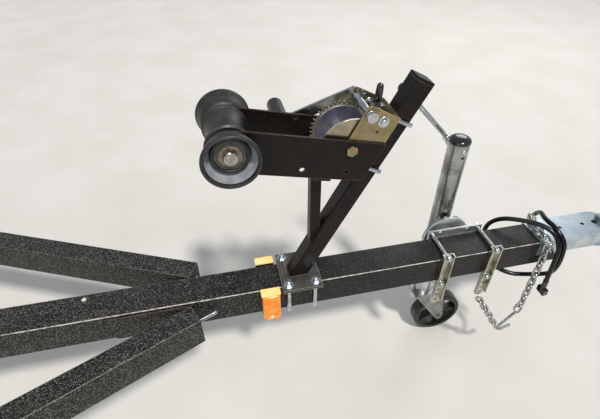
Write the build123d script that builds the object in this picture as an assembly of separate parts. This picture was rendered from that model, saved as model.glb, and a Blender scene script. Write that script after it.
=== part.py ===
from build123d import *
import os
from math import cos, pi, radians, sin, sqrt, tan

# Boat trailer parked on its jack: bolted V frame, winch stand, road axle and bunks.
# Millimetres. The origin is the centre of the hitch ball's socket, +X forward, +Y to port, +Z up.

# Seats and running clearances
SEAT = 0.3            # gap between seated pieces that don't share a flat face
RUN = 0.08            # radial running clearance of a shaft in its bore

# Height above the ground and the tongue tube
BALL_HEIGHT = 440.0
GROUND_Z = -BALL_HEIGHT
TONGUE_SIZE = 76.2
TONGUE_WALL = 3.2
TONGUE_TOP_Z = 30.0
TONGUE_FRONT_X = -95.0
TONGUE_HALF = TONGUE_SIZE / 2
TONGUE_BOTTOM_Z = TONGUE_TOP_Z - TONGUE_SIZE

# Side rails: they start square beside the tongue, spread and then run parallel to the rear
RAIL_WIDTH = 50.8
RAIL_HEIGHT = 76.2
RAIL_WALL = 3.2
RAIL_ANGLE = 24.2
RAIL_DROP = 3.3       # rail top below the tongue's top
RAIL_FRONT_X = -1050.0
RAIL_HALF_SPACING = 560.0
RAIL_REAR_X = -4950.0
RAIL_BEND_RADIUS = 250.0
RAIL_TOP_Z = TONGUE_TOP_Z - RAIL_DROP
RAIL_BOTTOM_Z = RAIL_TOP_Z - RAIL_HEIGHT
RAIL_INNER_Y = RAIL_HALF_SPACING - RAIL_WIDTH / 2
RAIL_OUTER_Y = RAIL_HALF_SPACING + RAIL_WIDTH / 2

# Plates between the tongue's sides and the rails' front corners
JOINT_PLATE_THICK = 3.0
JOINT_PLATE_LENGTH = 170.0
JOINT_PLATE_HEIGHT = 64.0
RAIL_BOLT_RADIUS = 4.8
RAIL_BOLT_LENGTH = 46.0
RAIL_BOLT_Z = -18.0

# Cross members between the rails
CROSS_WIDTH = 50.8
CROSS_FRONT_X = -2260.0
CROSS_MIDDLE_X = -3200.0
CROSS_REAR_X = RAIL_REAR_X + CROSS_WIDTH / 2

# Coupler over the tongue's front end
COUPLER_WALL = 3.0
COUPLER_REAR_X = -187.0
COUPLER_SIDE_DEPTH = 45.0
COUPLER_BOLT_XS = (-155.0, -115.0)
COUPLER_BOLT_Z = 5.0
COUPLER_BOLT_RADIUS = 5.0
BALL_RADIUS = 25.0
SOCKET_RADIUS = BALL_RADIUS + 0.6
SOCKET_WALL = 4.0

# Winch post and the clamp at its foot
POST_SIZE = 38.1
POST_WALL = 3.0
POST_LEAN = 27.4
POST_FOOT_X = -807.0
POST_LENGTH = 505.0
POST_CAP_HEIGHT = 6.0
CLAMP_LENGTH = 90.0
CLAMP_WIDTH = 116.0
CLAMP_THICK = 8.0
CLAMP_X = -800.0
CLAMP_BOLT_SPACING_X = 62.0
U_BOLT_RADIUS = 4.75
U_BOLT_STICK_UP = 12.0
BRACKET_BOLT_RADIUS = 4.0
BRACKET_BOLT_UP_POST = 320.0
WINCH_BOLT_UP_POST = 428.0

# Winch bracket: two arms that carry the bow roller, and the strut under them
ARM_GAP = 82.0
ARM_WALL = 4.0
ARM_HEIGHT = 82.6
ARM_RISE = 12.7
ROLLER_X = -927.0
ROLLER_Z = 407.0
ROLLER_PIN_ABOVE_ARM_MIDDLE = 4.7
ROLLER_PIN_RADIUS = 6.35
SPOOL_END_RADIUS = 42.0
SPOOL_WAIST_RADIUS = 33.0
BELL_RADIUS = 51.0
BELL_DEPTH = 40.0
STRUT_SIZE = 22.0
STRUT_X = -766.0

# Winch: gear and pinion between two plates, in the post's own frame
WINCH_BEHIND_POST = 74.0
DRUM_UP_POST = 352.5
GEAR_MODULE = 2.7
GEAR_TEETH = 42
PINION_TEETH = 10
GEAR_THICK = 4.0
WINCH_PLATE = 3.0
DRUM_RADIUS = 16.0
DRUM_FLANGE_RADIUS = 57.0
GEAR_FACE_RADIUS = 51.0
WINCH_SHAFT_RADIUS = 6.5
CRANK_LENGTH = 149.0
CRANK_SLOPE = 19.3
CRANK_ARM_Y = 56.0
GRIP_RADIUS = 16.0
GRIP_LENGTH = 78.0

# Side-wind jack on the tongue's port side
JACK_X = -395.0
JACK_Y = 99.0
JACK_TUBE_RADIUS = 25.0
JACK_TUBE_WALL = 2.5
JACK_TOP_Z = 270.0
JACK_TUBE_BOTTOM_Z = -150.0
JACK_PIVOT_Z = 10.0
JACK_MOUNT_TOP_Z = 50.0
JACK_MOUNT_BOTTOM_Z = -135.0
JACK_DISC_RADIUS = 60.0
JACK_DISC_THICK = 5.0
JACK_LEG_RADIUS = 22.2
JACK_FORK_TOP_Z = -245.0
JACK_WHEEL_RADIUS = 76.0
JACK_WHEEL_WIDTH = 38.0
JACK_TRAIL = 68.0
JACK_CRANK_Y = 150.0
JACK_CRANK_Z = 249.0
JACK_CRANK_LENGTH = 153.0
JACK_CRANK_ANGLE = 46.3
JACK_GRIP_RADIUS = 13.0
JACK_GRIP_LENGTH = 62.0

# Road axle, hubs, wheels and tyres
AXLE_X = -3650.0
TYRE_RADIUS = 300.0
TYRE_WIDTH = 178.0
TRACK_HALF = 745.0
RIM_SEAT_RADIUS = 166.0
RIM_WIDTH = 114.0
RIM_WALL = 3.5
AXLE_Z = GROUND_Z + TYRE_RADIUS
AXLE_SIZE = 50.8
AXLE_WALL = 6.0
SPINDLE_RADIUS = 16.0
STUD_CIRCLE_RADIUS = 57.15
STUD_RADIUS = 6.35
STUD_COUNT = 5

# Leaf springs under the rails
SPRING_HALF = 330.0
SPRING_WIDTH = 44.5
LEAF_THICK = 6.4
LEAF_SHARES = (1.0, 0.72, 0.46)
SPRING_EYE_Z = -74.0
SPRING_EYE_RADIUS = 14.0
SPRING_PIN_RADIUS = 7.0

# Fenders over the tyres
FENDER_RADIUS = 350.0
FENDER_WALL = 2.0
FENDER_INNER_Y = 640.0
FENDER_OUTER_Y = 856.0
FENDER_STEP_Z = 4.0
FENDER_STEP_LENGTH = 80.0
FENDER_LIP = 34.0

# Carpeted bunks and their posts
BUNK_Y = 330.0
BUNK_WIDTH = 98.0
BUNK_THICK = 46.0
BUNK_FRONT_X = -2900.0
BUNK_REAR_X = -5040.0
BUNK_TILT = 12.0
BUNK_RISE = 120.0     # bunk's underside above the rails' tops, at its middle

# Lamps at the rear, and the number plate's bracket
TAIL_LAMP_WIDTH = 118.0
TAIL_LAMP_HEIGHT = 112.0
TAIL_LAMP_DEPTH = 45.0
TAIL_LAMP_Y = RAIL_HALF_SPACING + 105.0
PLATE_WIDTH = 305.0
PLATE_HEIGHT = 155.0
PLATE_HOLE_SPACING = 177.8
PLATE_HOLE_RADIUS = 3.5

# Amber marker lamps beside the tongue
MARKER_X = -873.5
MARKER_LENGTH = 44.0
MARKER_HEIGHT = 85.0
MARKER_DEPTH = 25.0
MARKER_TOP_Z = 35.0

# Safety chains
WIRE_RADIUS = 3.0
LINK_PITCH = 22.0
LINK_WIDTH = 21.0
CHAIN_OVER_COUPLER = (
    (-155, 53.5, 19.8), (-158, 53.5, 38), (-163, 46.5, 44.8), (-171, 20, 44.5), (-176, -20, 44.5),
    (-179, -46.5, 44.8), (-179, -53.5, 38), (-176, -54, -35), (-173, -54, -196), (-178.4, -53.1, -224.9),
)
CHAIN_FROM_HOOK = ((-221.6, -50, -289.4), (-266, -49, -216), (-317, -47.5, -137))
HOOK_RADIUS = 4.0
HOOK_POINTS = (
    (-179.0, -53, -232.9), (-211, -50, -291), (-215, -50, -302), (-200, -50, -308), (-172, -50, -296),
)
HOOK_BENDS = 5.0

# Lighting harness
CORD_RADIUS = 6.0
CORD_RUN_SHARE = 0.45
CORD_POINTS = (
    (-215, 12, -43), (-215, 12, -80), (-195, 27.5, -104), (-165, 49.5, -104), (-145.5, 63.5, -78.5),
    (-141, 66, -40), (-138, 66, -6), (-136, 66, 28), (-144, 40, 62), (-160, 6, 69),
    (-153, -30, 67), (-140, -60, 44), (-137, -68, 6), (-134, -68, -34), (-133, -59, -72),
    (-147, -37, -96), (-180, -22, -104), (-212, -14, -103), (-244, 14, -98), (-262, 44, -80),
    (-269, 64, -48), (-272, 68, -10), (-270, 64, 26), (-254, 42, 58), (-216, 14, 67),
    (-180, -16, 69), (-158, -44, 58), (-152, -66, 26), (-151, -68, -20), (-148, -68, -60),
    (-145, -68, -96),
)


def x_cylinder(radius, x0, x1, y, z):
    return Pos((x0 + x1) / 2, y, z) * Rot(0, 90, 0) * Cylinder(radius, abs(x1 - x0))


def y_cylinder(radius, y0, y1, x, z):
    return Pos(x, (y0 + y1) / 2, z) * Rot(90, 0, 0) * Cylinder(radius, abs(y1 - y0))


def z_cylinder(radius, z0, z1, x, y):
    return Pos(x, y, (z0 + z1) / 2) * Cylinder(radius, abs(z1 - z0))


def block(x0, x1, y0, y1, z0, z1):
    """Box between two corners."""
    centre = Pos((x0 + x1) / 2, (y0 + y1) / 2, (z0 + z1) / 2)
    return centre * Box(abs(x1 - x0), abs(y1 - y0), abs(z1 - z0))


def xz_prism(points, y0, y1):
    """Prism with a straight-sided outline in X and Z, between two values of Y."""
    outline = make_face(Polyline([(x, y0, z) for x, z in points], close=True))
    return extrude(outline, amount=y1 - y0, dir=(0, 1, 0))


def both_sides(shape):
    """A shape and its mirror image across the middle plane, as one node."""
    return Compound(children=[shape, mirror(shape, about=Plane.XZ)])


def tube_along(points, radii, radius):
    """Round bar or cord of straight runs and tangent arcs."""
    path = FilletPolyline(*points, radius=radii)
    section = Plane(origin=path @ 0, z_dir=path % 0) * Circle(radius)
    return sweep(section, path=path)


def gear(teeth, module, thick, bore_radius):
    """Spur gear flat on XY, with straight-flanked teeth and a bore."""
    pitch_radius = teeth * module / 2
    tip, root = pitch_radius + module, pitch_radius - 1.15 * module
    step = 2 * pi / teeth
    corners = []
    for i in range(teeth):
        for radius, share in ((root, -0.30), (tip, -0.10), (tip, 0.10), (root, 0.30)):
            angle = (i + share) * step
            corners.append((radius * cos(angle), radius * sin(angle)))
    outline = make_face(Polyline(corners, close=True))
    return extrude(outline - Circle(bore_radius), amount=thick)


def round_tube(width, height, wall, length):
    """Rectangular tube with rounded corners, along +X from the origin."""
    plane = Plane(origin=(0, 0, 0), x_dir=(0, 1, 0), z_dir=(1, 0, 0))
    section = RectangleRounded(width, height, 1.5 * wall)
    section -= RectangleRounded(width - 2 * wall, height - 2 * wall, 0.5 * wall)
    return extrude(plane * section, amount=length)


def hex_nut(across_flats, thick):
    """Hexagonal prism on XY, its flats facing Y."""
    return extrude(RegularPolygon(across_flats / sqrt(3), 6), amount=thick)


# The winch post's own frame: x forward from its axis, y to port, z up the post
LEAN_SIN = sin(radians(POST_LEAN))
LEAN_COS = cos(radians(POST_LEAN))
POST_FRAME = Plane(
    origin=(POST_FOOT_X, 0, TONGUE_TOP_Z), x_dir=(LEAN_COS, 0, -LEAN_SIN), z_dir=(LEAN_SIN, 0, LEAN_COS)
)
POST_AT = POST_FRAME.location
POST_REAR = -POST_SIZE / 2
IN_FRONT_OF_REAR_FACE = POST_AT * block(POST_REAR, 600, -200, 200, -300, 900)


def frame_parts():
    """The tongue, rails, cross members and the plates and bolts that join them."""
    parts = {}
    tongue_rear = CROSS_FRONT_X + CROSS_WIDTH / 2
    tongue = round_tube(TONGUE_SIZE, TONGUE_SIZE, TONGUE_WALL, TONGUE_FRONT_X - tongue_rear)
    tongue = Pos(tongue_rear, 0, TONGUE_TOP_Z - TONGUE_HALF) * tongue
    for x in COUPLER_BOLT_XS:
        tongue -= y_cylinder(COUPLER_BOLT_RADIUS + SEAT, -100, 100, x, COUPLER_BOLT_Z)
    cord_x, cord_y, cord_z = CORD_POINTS[0]
    tongue -= z_cylinder(CORD_RADIUS + SEAT, cord_z - 20, cord_z + 20, cord_x, cord_y)
    parts["tongue_tube"] = tongue

    # Port rail: swept along its middle line, which starts at the rail's square-cut front end
    angle = radians(RAIL_ANGLE)
    inner_front_y = TONGUE_HALF + JOINT_PLATE_THICK
    front_x = RAIL_FRONT_X + RAIL_WIDTH / 2 * sin(angle)
    front_y = inner_front_y + RAIL_WIDTH / 2 * cos(angle)
    bend_x = front_x - (RAIL_HALF_SPACING - front_y) / tan(angle)
    middle_z = RAIL_TOP_Z - RAIL_HEIGHT / 2
    path = FilletPolyline(
        (front_x, front_y, middle_z),
        (bend_x, RAIL_HALF_SPACING, middle_z),
        (RAIL_REAR_X, RAIL_HALF_SPACING, middle_z),
        radius=RAIL_BEND_RADIUS,
    )
    along = (-cos(angle), sin(angle), 0)
    section_plane = Plane(origin=(front_x, front_y, middle_z), x_dir=(sin(angle), cos(angle), 0), z_dir=along)
    section = RectangleRounded(RAIL_WIDTH, RAIL_HEIGHT, 1.5 * RAIL_WALL)
    section -= RectangleRounded(RAIL_WIDTH - 2 * RAIL_WALL, RAIL_HEIGHT - 2 * RAIL_WALL, 0.5 * RAIL_WALL)
    rail = sweep(section_plane * section, path=path)
    parts["rail_left"] = rail
    parts["rail_right"] = mirror(rail, about=Plane.XZ)

    plate = block(
        RAIL_FRONT_X - JOINT_PLATE_LENGTH, RAIL_FRONT_X,
        TONGUE_HALF, TONGUE_HALF + JOINT_PLATE_THICK,
        middle_z - JOINT_PLATE_HEIGHT / 2, middle_z + JOINT_PLATE_HEIGHT / 2,
    )
    parts["rail_joint_plates"] = both_sides(plate)

    # A plug in each rail's front end, with a bolt that sticks out of it beside the tongue
    plug_width = RAIL_WIDTH - 2 * RAIL_WALL - 2 * SEAT
    plug_height = RAIL_HEIGHT - 2 * RAIL_WALL - 2 * SEAT
    plug = Pos(0, 0, -2.0) * extrude(RectangleRounded(plug_width, plug_height, 2.5), amount=4.0)
    bolt = Pos(0, RAIL_BOLT_Z - middle_z, -RAIL_BOLT_LENGTH / 2) * Cylinder(RAIL_BOLT_RADIUS, RAIL_BOLT_LENGTH)
    parts["rail_end_bolts"] = both_sides(section_plane.location * (Pos(0, 0, 2.0) * plug + bolt))

    cross_length = 2 * RAIL_INNER_Y
    cross = round_tube(CROSS_WIDTH, RAIL_HEIGHT, RAIL_WALL, cross_length)
    for name, x in (("front", CROSS_FRONT_X), ("middle", CROSS_MIDDLE_X), ("rear", CROSS_REAR_X)):
        place = Pos(x, -RAIL_INNER_Y, middle_z) * Rot(0, 0, 90)
        parts[f"cross_member_{name}"] = place * cross
    return parts


def coupler_parts():
    """Pressed channel over the tongue's end, with the ball's cup in its nose, and the latch lever."""
    half = TONGUE_HALF + COUPLER_WALL
    top_z = TONGUE_TOP_Z + COUPLER_WALL
    skirt_z = top_z - COUPLER_SIDE_DEPTH

    def plan(half_width, rear_x, z0, z1):
        channel = block(rear_x, 0, -half_width, half_width, z0, z1)
        return channel + z_cylinder(half_width, z0, z1, 0, 0)

    shell = plan(half, COUPLER_REAR_X, skirt_z, top_z)
    hollow = plan(TONGUE_HALF, COUPLER_REAR_X - 10, skirt_z - 10, TONGUE_TOP_Z)
    shell -= hollow
    # A flared rim round the nose's lower edge
    rim = z_cylinder(half + 5, skirt_z, skirt_z + COUPLER_WALL, 0, 0) - z_cylinder(half, -100, 100, 0, 0)
    rim -= block(-200, -12, -100, 100, -100, 100)
    # The ball's cup hangs from the top, inside the nose
    cup_radius = SOCKET_RADIUS + SOCKET_WALL
    cup = Sphere(cup_radius) & block(-100, 100, -100, 100, 0, TONGUE_TOP_Z + 1)
    cup += z_cylinder(cup_radius, skirt_z, 0, 0, 0)
    web = block(-cup_radius + 3, cup_radius - 3, -half + 1, half - 1, skirt_z + 4, skirt_z + 8)
    body = shell + rim + cup + web
    body -= Sphere(SOCKET_RADIUS)
    body -= z_cylinder(SOCKET_RADIUS, skirt_z - 5, 0, 0, 0)
    for x, radius in ((-105.4, 4.0), (-39.4, 4.0), (-3.0, 7.0)):
        body -= z_cylinder(radius, TONGUE_TOP_Z - 1, top_z + 1, x, 0)
    latch_z = top_z
    lever = block(8, 66, -14, 14, latch_z + 10, latch_z + 14)
    lever += block(8, 26, -14, -10, latch_z, latch_z + 14)
    lever += block(8, 26, 10, 14, latch_z, latch_z + 14)
    lever += y_cylinder(5.0, -14, 14, 66, latch_z + 12)
    bolts = []
    for x in COUPLER_BOLT_XS:
        body -= y_cylinder(COUPLER_BOLT_RADIUS + SEAT, -100, 100, x, COUPLER_BOLT_Z)
        bolt = y_cylinder(COUPLER_BOLT_RADIUS, -half - 12, half + 12, x, COUPLER_BOLT_Z)
        for side in (-1, 1):
            bolt += Pos(x, side * half, COUPLER_BOLT_Z) * Rot(-90 * side, 0, 0) * hex_nut(16.0, 8.0)
        bolts.append(bolt)
    return {"coupler_body": body, "coupler_latch": lever, "coupler_bolts": Compound(children=bolts)}


def post_parts():
    """Winch post with its cap, the clamp plate with its U-bolts, and the strut."""
    parts = {}
    clamp_top = TONGUE_TOP_Z + CLAMP_THICK
    above_clamp = block(-2000, 0, -200, 200, clamp_top, 1000)
    section = RectangleRounded(POST_SIZE, POST_SIZE, 1.2 * POST_WALL)
    bore = POST_SIZE - 2 * POST_WALL
    section -= RectangleRounded(bore, bore, 0.5 * POST_WALL)
    tube = POST_AT * extrude(Pos(0, 0, -30) * section, amount=POST_LENGTH + 30)
    parts["winch_post"] = tube & above_clamp

    cap = Pos(0, 0, POST_LENGTH + POST_CAP_HEIGHT / 2) * Box(POST_SIZE, POST_SIZE, POST_CAP_HEIGHT)
    cap = fillet(cap.edges().filter_by(Axis.Z), 3.6)
    cap = fillet(cap.edges().group_by(Axis.Z)[-1], 2.0)
    stem = bore - 2 * SEAT
    cap += Pos(0, 0, POST_LENGTH - 16) * extrude(RectangleRounded(stem, stem, 2.5), amount=16.0)
    parts["winch_post_cap"] = POST_AT * cap

    leg_y = TONGUE_HALF + SEAT + U_BOLT_RADIUS
    bolt_xs = (CLAMP_X - CLAMP_BOLT_SPACING_X / 2, CLAMP_X + CLAMP_BOLT_SPACING_X / 2)
    plate = block(
        CLAMP_X - CLAMP_LENGTH / 2, CLAMP_X + CLAMP_LENGTH / 2,
        -CLAMP_WIDTH / 2, CLAMP_WIDTH / 2, TONGUE_TOP_Z, clamp_top,
    )
    for x in bolt_xs:
        for y in (-leg_y, leg_y):
            plate -= z_cylinder(U_BOLT_RADIUS + SEAT, TONGUE_TOP_Z - 1, clamp_top + 1, x, y)
    # A pressed rib between the two rear nuts
    rib_end = leg_y - 14
    rib = y_cylinder(6.5, -rib_end, rib_end, bolt_xs[0], clamp_top)
    plate += rib & block(-2000, 0, -100, 100, TONGUE_TOP_Z + 2, 1000)
    parts["post_clamp_plate"] = plate

    under = TONGUE_BOTTOM_Z - SEAT - U_BOLT_RADIUS
    tip = clamp_top + U_BOLT_STICK_UP
    u_bolts = []
    for x in bolt_xs:
        points = [(x, leg_y, tip), (x, leg_y, under), (x, -leg_y, under), (x, -leg_y, tip)]
        bolt = tube_along(points, 9.0, U_BOLT_RADIUS)
        for y in (-leg_y, leg_y):
            bolt += Pos(x, y, clamp_top) * hex_nut(14.0, 7.5)
        u_bolts.append(bolt)

    # Two more U-bolts round the post: one holds the arms' web, one the winch's base
    leg_y = POST_SIZE / 2 + SEAT + BRACKET_BOLT_RADIUS
    for z, plate in ((BRACKET_BOLT_UP_POST, ARM_WALL), (WINCH_BOLT_UP_POST, WINCH_PLATE)):
        back = POST_REAR - plate - 10.0
        points = [(back, leg_y, z), (leg_y, leg_y, z), (leg_y, -leg_y, z), (back, -leg_y, z)]
        bolt = tube_along(points, 7.0, BRACKET_BOLT_RADIUS)
        for y in (-leg_y, leg_y):
            bolt += Pos(POST_REAR - plate, y, z) * Rot(0, -90, 0) * hex_nut(11.0, 6.5)
        u_bolts.append(POST_AT * bolt)
    parts["post_u_bolts"] = Compound(children=u_bolts)

    # The strut rises from the post's rear face to a flat bar across the arms' lower edges
    rise = radians(ARM_RISE)
    edge = ROLLER_PIN_ABOVE_ARM_MIDDLE + ARM_HEIGHT / 2
    along_arm = (STRUT_X - ROLLER_X + edge * sin(rise)) / cos(rise)
    arm_frame = Plane(origin=(ROLLER_X, 0, ROLLER_Z), x_dir=(cos(rise), 0, -sin(rise)), z_dir=(0, -1, 0))
    bar_thick = 5.0
    bar_half_width = ARM_GAP / 2 + ARM_WALL
    bar = block(along_arm - 20, along_arm + 20, -edge - bar_thick, -edge, -bar_half_width, bar_half_width)
    bar = arm_frame.location * bar
    half = STRUT_SIZE / 2
    strut = block(STRUT_X - half, STRUT_X + half, -half, half, 60, ROLLER_Z - 86.0)
    above_bar = block(along_arm - 200, along_arm + 200, -edge - bar_thick, 200, -200, 200)
    strut -= arm_frame.location * above_bar
    parts["post_strut"] = bar + strut - IN_FRONT_OF_REAR_FACE
    return parts


def bracket_parts():
    """Two arms from the post's rear face to the bow roller, the roller, its bells and its pin."""
    parts = {}
    rise = radians(ARM_RISE)
    arm_plane = Plane(
        origin=(ROLLER_X, -ARM_GAP / 2, ROLLER_Z), x_dir=(cos(rise), 0, -sin(rise)), z_dir=(0, -1, 0)
    )
    middle = -ROLLER_PIN_ABOVE_ARM_MIDDLE
    half = ARM_HEIGHT / 2
    outline = Pos(200, middle) * Rectangle(400, ARM_HEIGHT) + Pos(0, middle) * Circle(half)
    outline -= Circle(ROLLER_PIN_RADIUS + SEAT)
    arm = extrude(arm_plane * outline, amount=ARM_WALL) - IN_FRONT_OF_REAR_FACE
    drum_axis = POST_AT * Pos(-WINCH_BEHIND_POST, 0, DRUM_UP_POST) * Rot(90, 0, 0)
    arm -= drum_axis * Cylinder(WINCH_SHAFT_RADIUS + SEAT, 400)
    lower_holes = ((-801.9, 347.7), (-717.9, 329.8))
    for x, z in lower_holes:
        arm -= y_cylinder(5.0, -100, 0, x, z)
    far_arm = mirror(arm, about=Plane.XZ) - y_cylinder(5.0, 0, 100, -795.2, 408.4)

    # The web closes the arms' lower front corner; its top corners stay clear of the drum's flanges
    web_low, web_high, notch_z, notch_y = 303.0, 334.0, 313.0, 27.5
    leg_y = POST_SIZE / 2 + SEAT + BRACKET_BOLT_RADIUS
    web = block(POST_REAR - ARM_WALL, POST_REAR, -ARM_GAP / 2, ARM_GAP / 2, web_low, web_high)
    for y in (notch_y, -notch_y):
        web -= block(POST_REAR - 20, POST_REAR + 20, y, 4 * y, notch_z, web_high + 10)
    for y in (-leg_y, leg_y):
        hole = Pos(POST_REAR, y, BRACKET_BOLT_UP_POST) * Rot(0, 90, 0)
        web -= hole * Cylinder(BRACKET_BOLT_RADIUS + SEAT, 40)
    parts["winch_bracket"] = arm + far_arm + POST_AT * web

    # Bow roller: a waisted spool between the arms and a cupped bell outside each arm
    bore = ROLLER_PIN_RADIUS + RUN
    end_y = ARM_GAP / 2 - 3.0
    near_rim, far_rim = (SPOOL_END_RADIUS, -end_y, 0), (SPOOL_END_RADIUS, end_y, 0)
    spool_outline = make_face([
        Polyline([near_rim, (bore, -end_y, 0), (bore, end_y, 0), far_rim]),
        ThreePointArc(far_rim, (SPOOL_WAIST_RADIUS, 0, 0), near_rim),
    ])
    at_pin = Pos(ROLLER_X, 0, ROLLER_Z)
    parts["bow_roller_spool"] = at_pin * revolve(spool_outline, axis=Axis.Y)
    root_y = ARM_GAP / 2 + ARM_WALL + 3.0
    rim_y = root_y + BELL_DEPTH
    hub_y = root_y + 14.0
    bell_points = [
        (bore, root_y), (34.0, root_y), (41.0, root_y + 5.0), (47.0, rim_y - 12.0), (BELL_RADIUS, rim_y - 8.0),
        (BELL_RADIUS, rim_y), (BELL_RADIUS - 6.0, rim_y), (40.0, root_y + 10.0), (30.0, root_y + 7.0),
        (30.0, hub_y + 4.0), (26.0, hub_y + 4.0), (26.0, hub_y), (bore, hub_y),
    ]
    bell = revolve(make_face(Polyline([(r, y, 0) for r, y in bell_points], close=True)), axis=Axis.Y)
    bells = [at_pin * bell, at_pin * mirror(bell, about=Plane.XZ)]
    parts["bow_roller_bells"] = Compound(children=bells)

    pin_end = hub_y + SEAT + 4.0
    pin = y_cylinder(ROLLER_PIN_RADIUS, -pin_end, pin_end + 10, 0, 0)
    for side in (-1, 1):
        washer_y = side * (hub_y + SEAT)
        pin += y_cylinder(19.0, washer_y, washer_y + side * 3.0, 0, 0)
        nut_y = washer_y + side * 3.0
        pin += Pos(0, nut_y, 0) * Rot(-90 * side, 0, 0) * hex_nut(19.0, 9.0)
    parts["bow_roller_pin"] = at_pin * pin
    return parts


def winch_parts():
    """Hand winch in the post's frame: plates, axle, drum with its gear, pinion, crank and pawl."""
    parts = {}
    plate_outer = ARM_GAP / 2
    plate_inner = plate_outer - WINCH_PLATE
    axle_at = Pos(-WINCH_BEHIND_POST, 0, DRUM_UP_POST)
    shaft_up = DRUM_UP_POST + GEAR_MODULE * (GEAR_TEETH + PINION_TEETH) / 2
    shaft_at = Pos(-WINCH_BEHIND_POST, 0, shaft_up)
    pawl_at = Pos(-46.0, 0, shaft_up - 1.5)

    plate_low, plate_high = 338.0, 439.0
    rear = -WINCH_BEHIND_POST - 14.0
    base_low = 398.0
    frame = block(rear, POST_REAR, plate_inner, plate_outer, plate_low, plate_high)
    frame = fillet(frame.edges().filter_by(Axis.Y).group_by(Axis.X)[0], 8.0)
    frame += mirror(frame, about=Plane.XZ)
    frame += block(POST_REAR - WINCH_PLATE, POST_REAR, -plate_inner, plate_inner, base_low, plate_high)
    bolt_y = POST_SIZE / 2 + SEAT + BRACKET_BOLT_RADIUS
    for y in (-bolt_y, bolt_y):
        hole = Pos(POST_REAR, y, WINCH_BOLT_UP_POST) * Rot(0, 90, 0)
        frame -= hole * Cylinder(BRACKET_BOLT_RADIUS + SEAT, 40)
    across = Rot(90, 0, 0)
    frame -= axle_at * across * Cylinder(WINCH_SHAFT_RADIUS + SEAT, 200)
    frame -= shaft_at * across * Cylinder(WINCH_SHAFT_RADIUS + RUN, 200)
    frame -= pawl_at * across * Cylinder(5.0 + SEAT, 200)
    head_y = ARM_GAP / 2 + ARM_WALL
    axle = axle_at * across * Cylinder(WINCH_SHAFT_RADIUS, 2 * head_y + 2)
    for side in (-1, 1):
        axle += axle_at * Pos(0, side * head_y, 0) * Rot(-90 * side, 0, 0) * hex_nut(19.0, 5.0)
    parts["winch_frame"] = POST_AT * Compound(children=[frame, axle])

    # The gear is the drum's port flange
    gear_y = 31.5
    gear_wheel = gear(GEAR_TEETH, GEAR_MODULE, GEAR_THICK, WINCH_SHAFT_RADIUS + RUN)
    drum = Pos(0, gear_y, 0) * Rot(-90, 0, 0) * gear_wheel
    near_y = -32.0
    drum += y_cylinder(DRUM_RADIUS, near_y, gear_y, 0, 0)
    drum += y_cylinder(GEAR_FACE_RADIUS, gear_y - 1.5, gear_y, 0, 0)
    drum += y_cylinder(DRUM_FLANGE_RADIUS, near_y - 3.0, near_y, 0, 0)
    drum -= y_cylinder(WINCH_SHAFT_RADIUS + RUN, -100, 100, 0, 0)
    parts["winch_drum"] = POST_AT * axle_at * drum

    # Crank shaft with its pinion, turned so that a tooth meets a gap of the gear
    pinion = gear(PINION_TEETH, GEAR_MODULE, GEAR_THICK + 2.0, 1.0)
    toward_drum = Rot(0, 180 / PINION_TEETH, 0)
    crank = toward_drum * Pos(0, gear_y - 1.0, 0) * Rot(-90, 0, 0) * pinion
    arm_y = CRANK_ARM_Y
    crank += y_cylinder(WINCH_SHAFT_RADIUS, -plate_outer - 6, arm_y + 5, 0, 0)
    crank += y_cylinder(11.0, plate_outer + 0.5, arm_y, 0, 0)
    crank += Pos(0, -plate_outer - 0.5, 0) * Rot(90, 0, 0) * hex_nut(19.0, 8.0)
    crank = POST_AT * shaft_at * crank
    shaft_point = POST_FRAME.from_local_coords(Vector(-WINCH_BEHIND_POST, 0, shaft_up))
    slope = radians(CRANK_SLOPE)
    grip_x = shaft_point.X - CRANK_LENGTH * cos(slope)
    grip_z = shaft_point.Z - CRANK_LENGTH * sin(slope)
    bar = Pos((shaft_point.X + grip_x) / 2, arm_y + 2.5, (shaft_point.Z + grip_z) / 2)
    bar = bar * Rot(0, -CRANK_SLOPE, 0) * Box(CRANK_LENGTH, 5.0, 22.0)
    crank += bar
    crank += y_cylinder(11.0, arm_y, arm_y + 5.0, grip_x, grip_z)
    crank += y_cylinder(11.0, arm_y, arm_y + 5.0, shaft_point.X, shaft_point.Z)
    grip_y = arm_y + 5.0
    crank += y_cylinder(5.0, grip_y, grip_y + GRIP_LENGTH - 5.0, grip_x, grip_z)
    parts["winch_crank"] = crank
    grip = Pos(0, 0, GRIP_LENGTH / 2) * Cylinder(GRIP_RADIUS, GRIP_LENGTH)
    grip = fillet(grip.edges(), 4.0) - Pos(0, 0, GRIP_LENGTH / 2 - 5.0) * Cylinder(5.0 + SEAT, GRIP_LENGTH)
    parts["winch_grip"] = Pos(grip_x, grip_y + SEAT, grip_z) * Rot(-90, 0, 0) * grip

    # Pawl on its own pin, with a rubber-covered lever
    pawl = across * Cylinder(5.0, 2 * plate_outer + 12)
    pawl += across * Cylinder(10.0, 30)
    pawl += Rot(0, -24, 0) * Pos(0, 0, 27) * Cylinder(7.0, 54)
    parts["winch_pawl"] = POST_AT * pawl_at * pawl
    return parts


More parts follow.
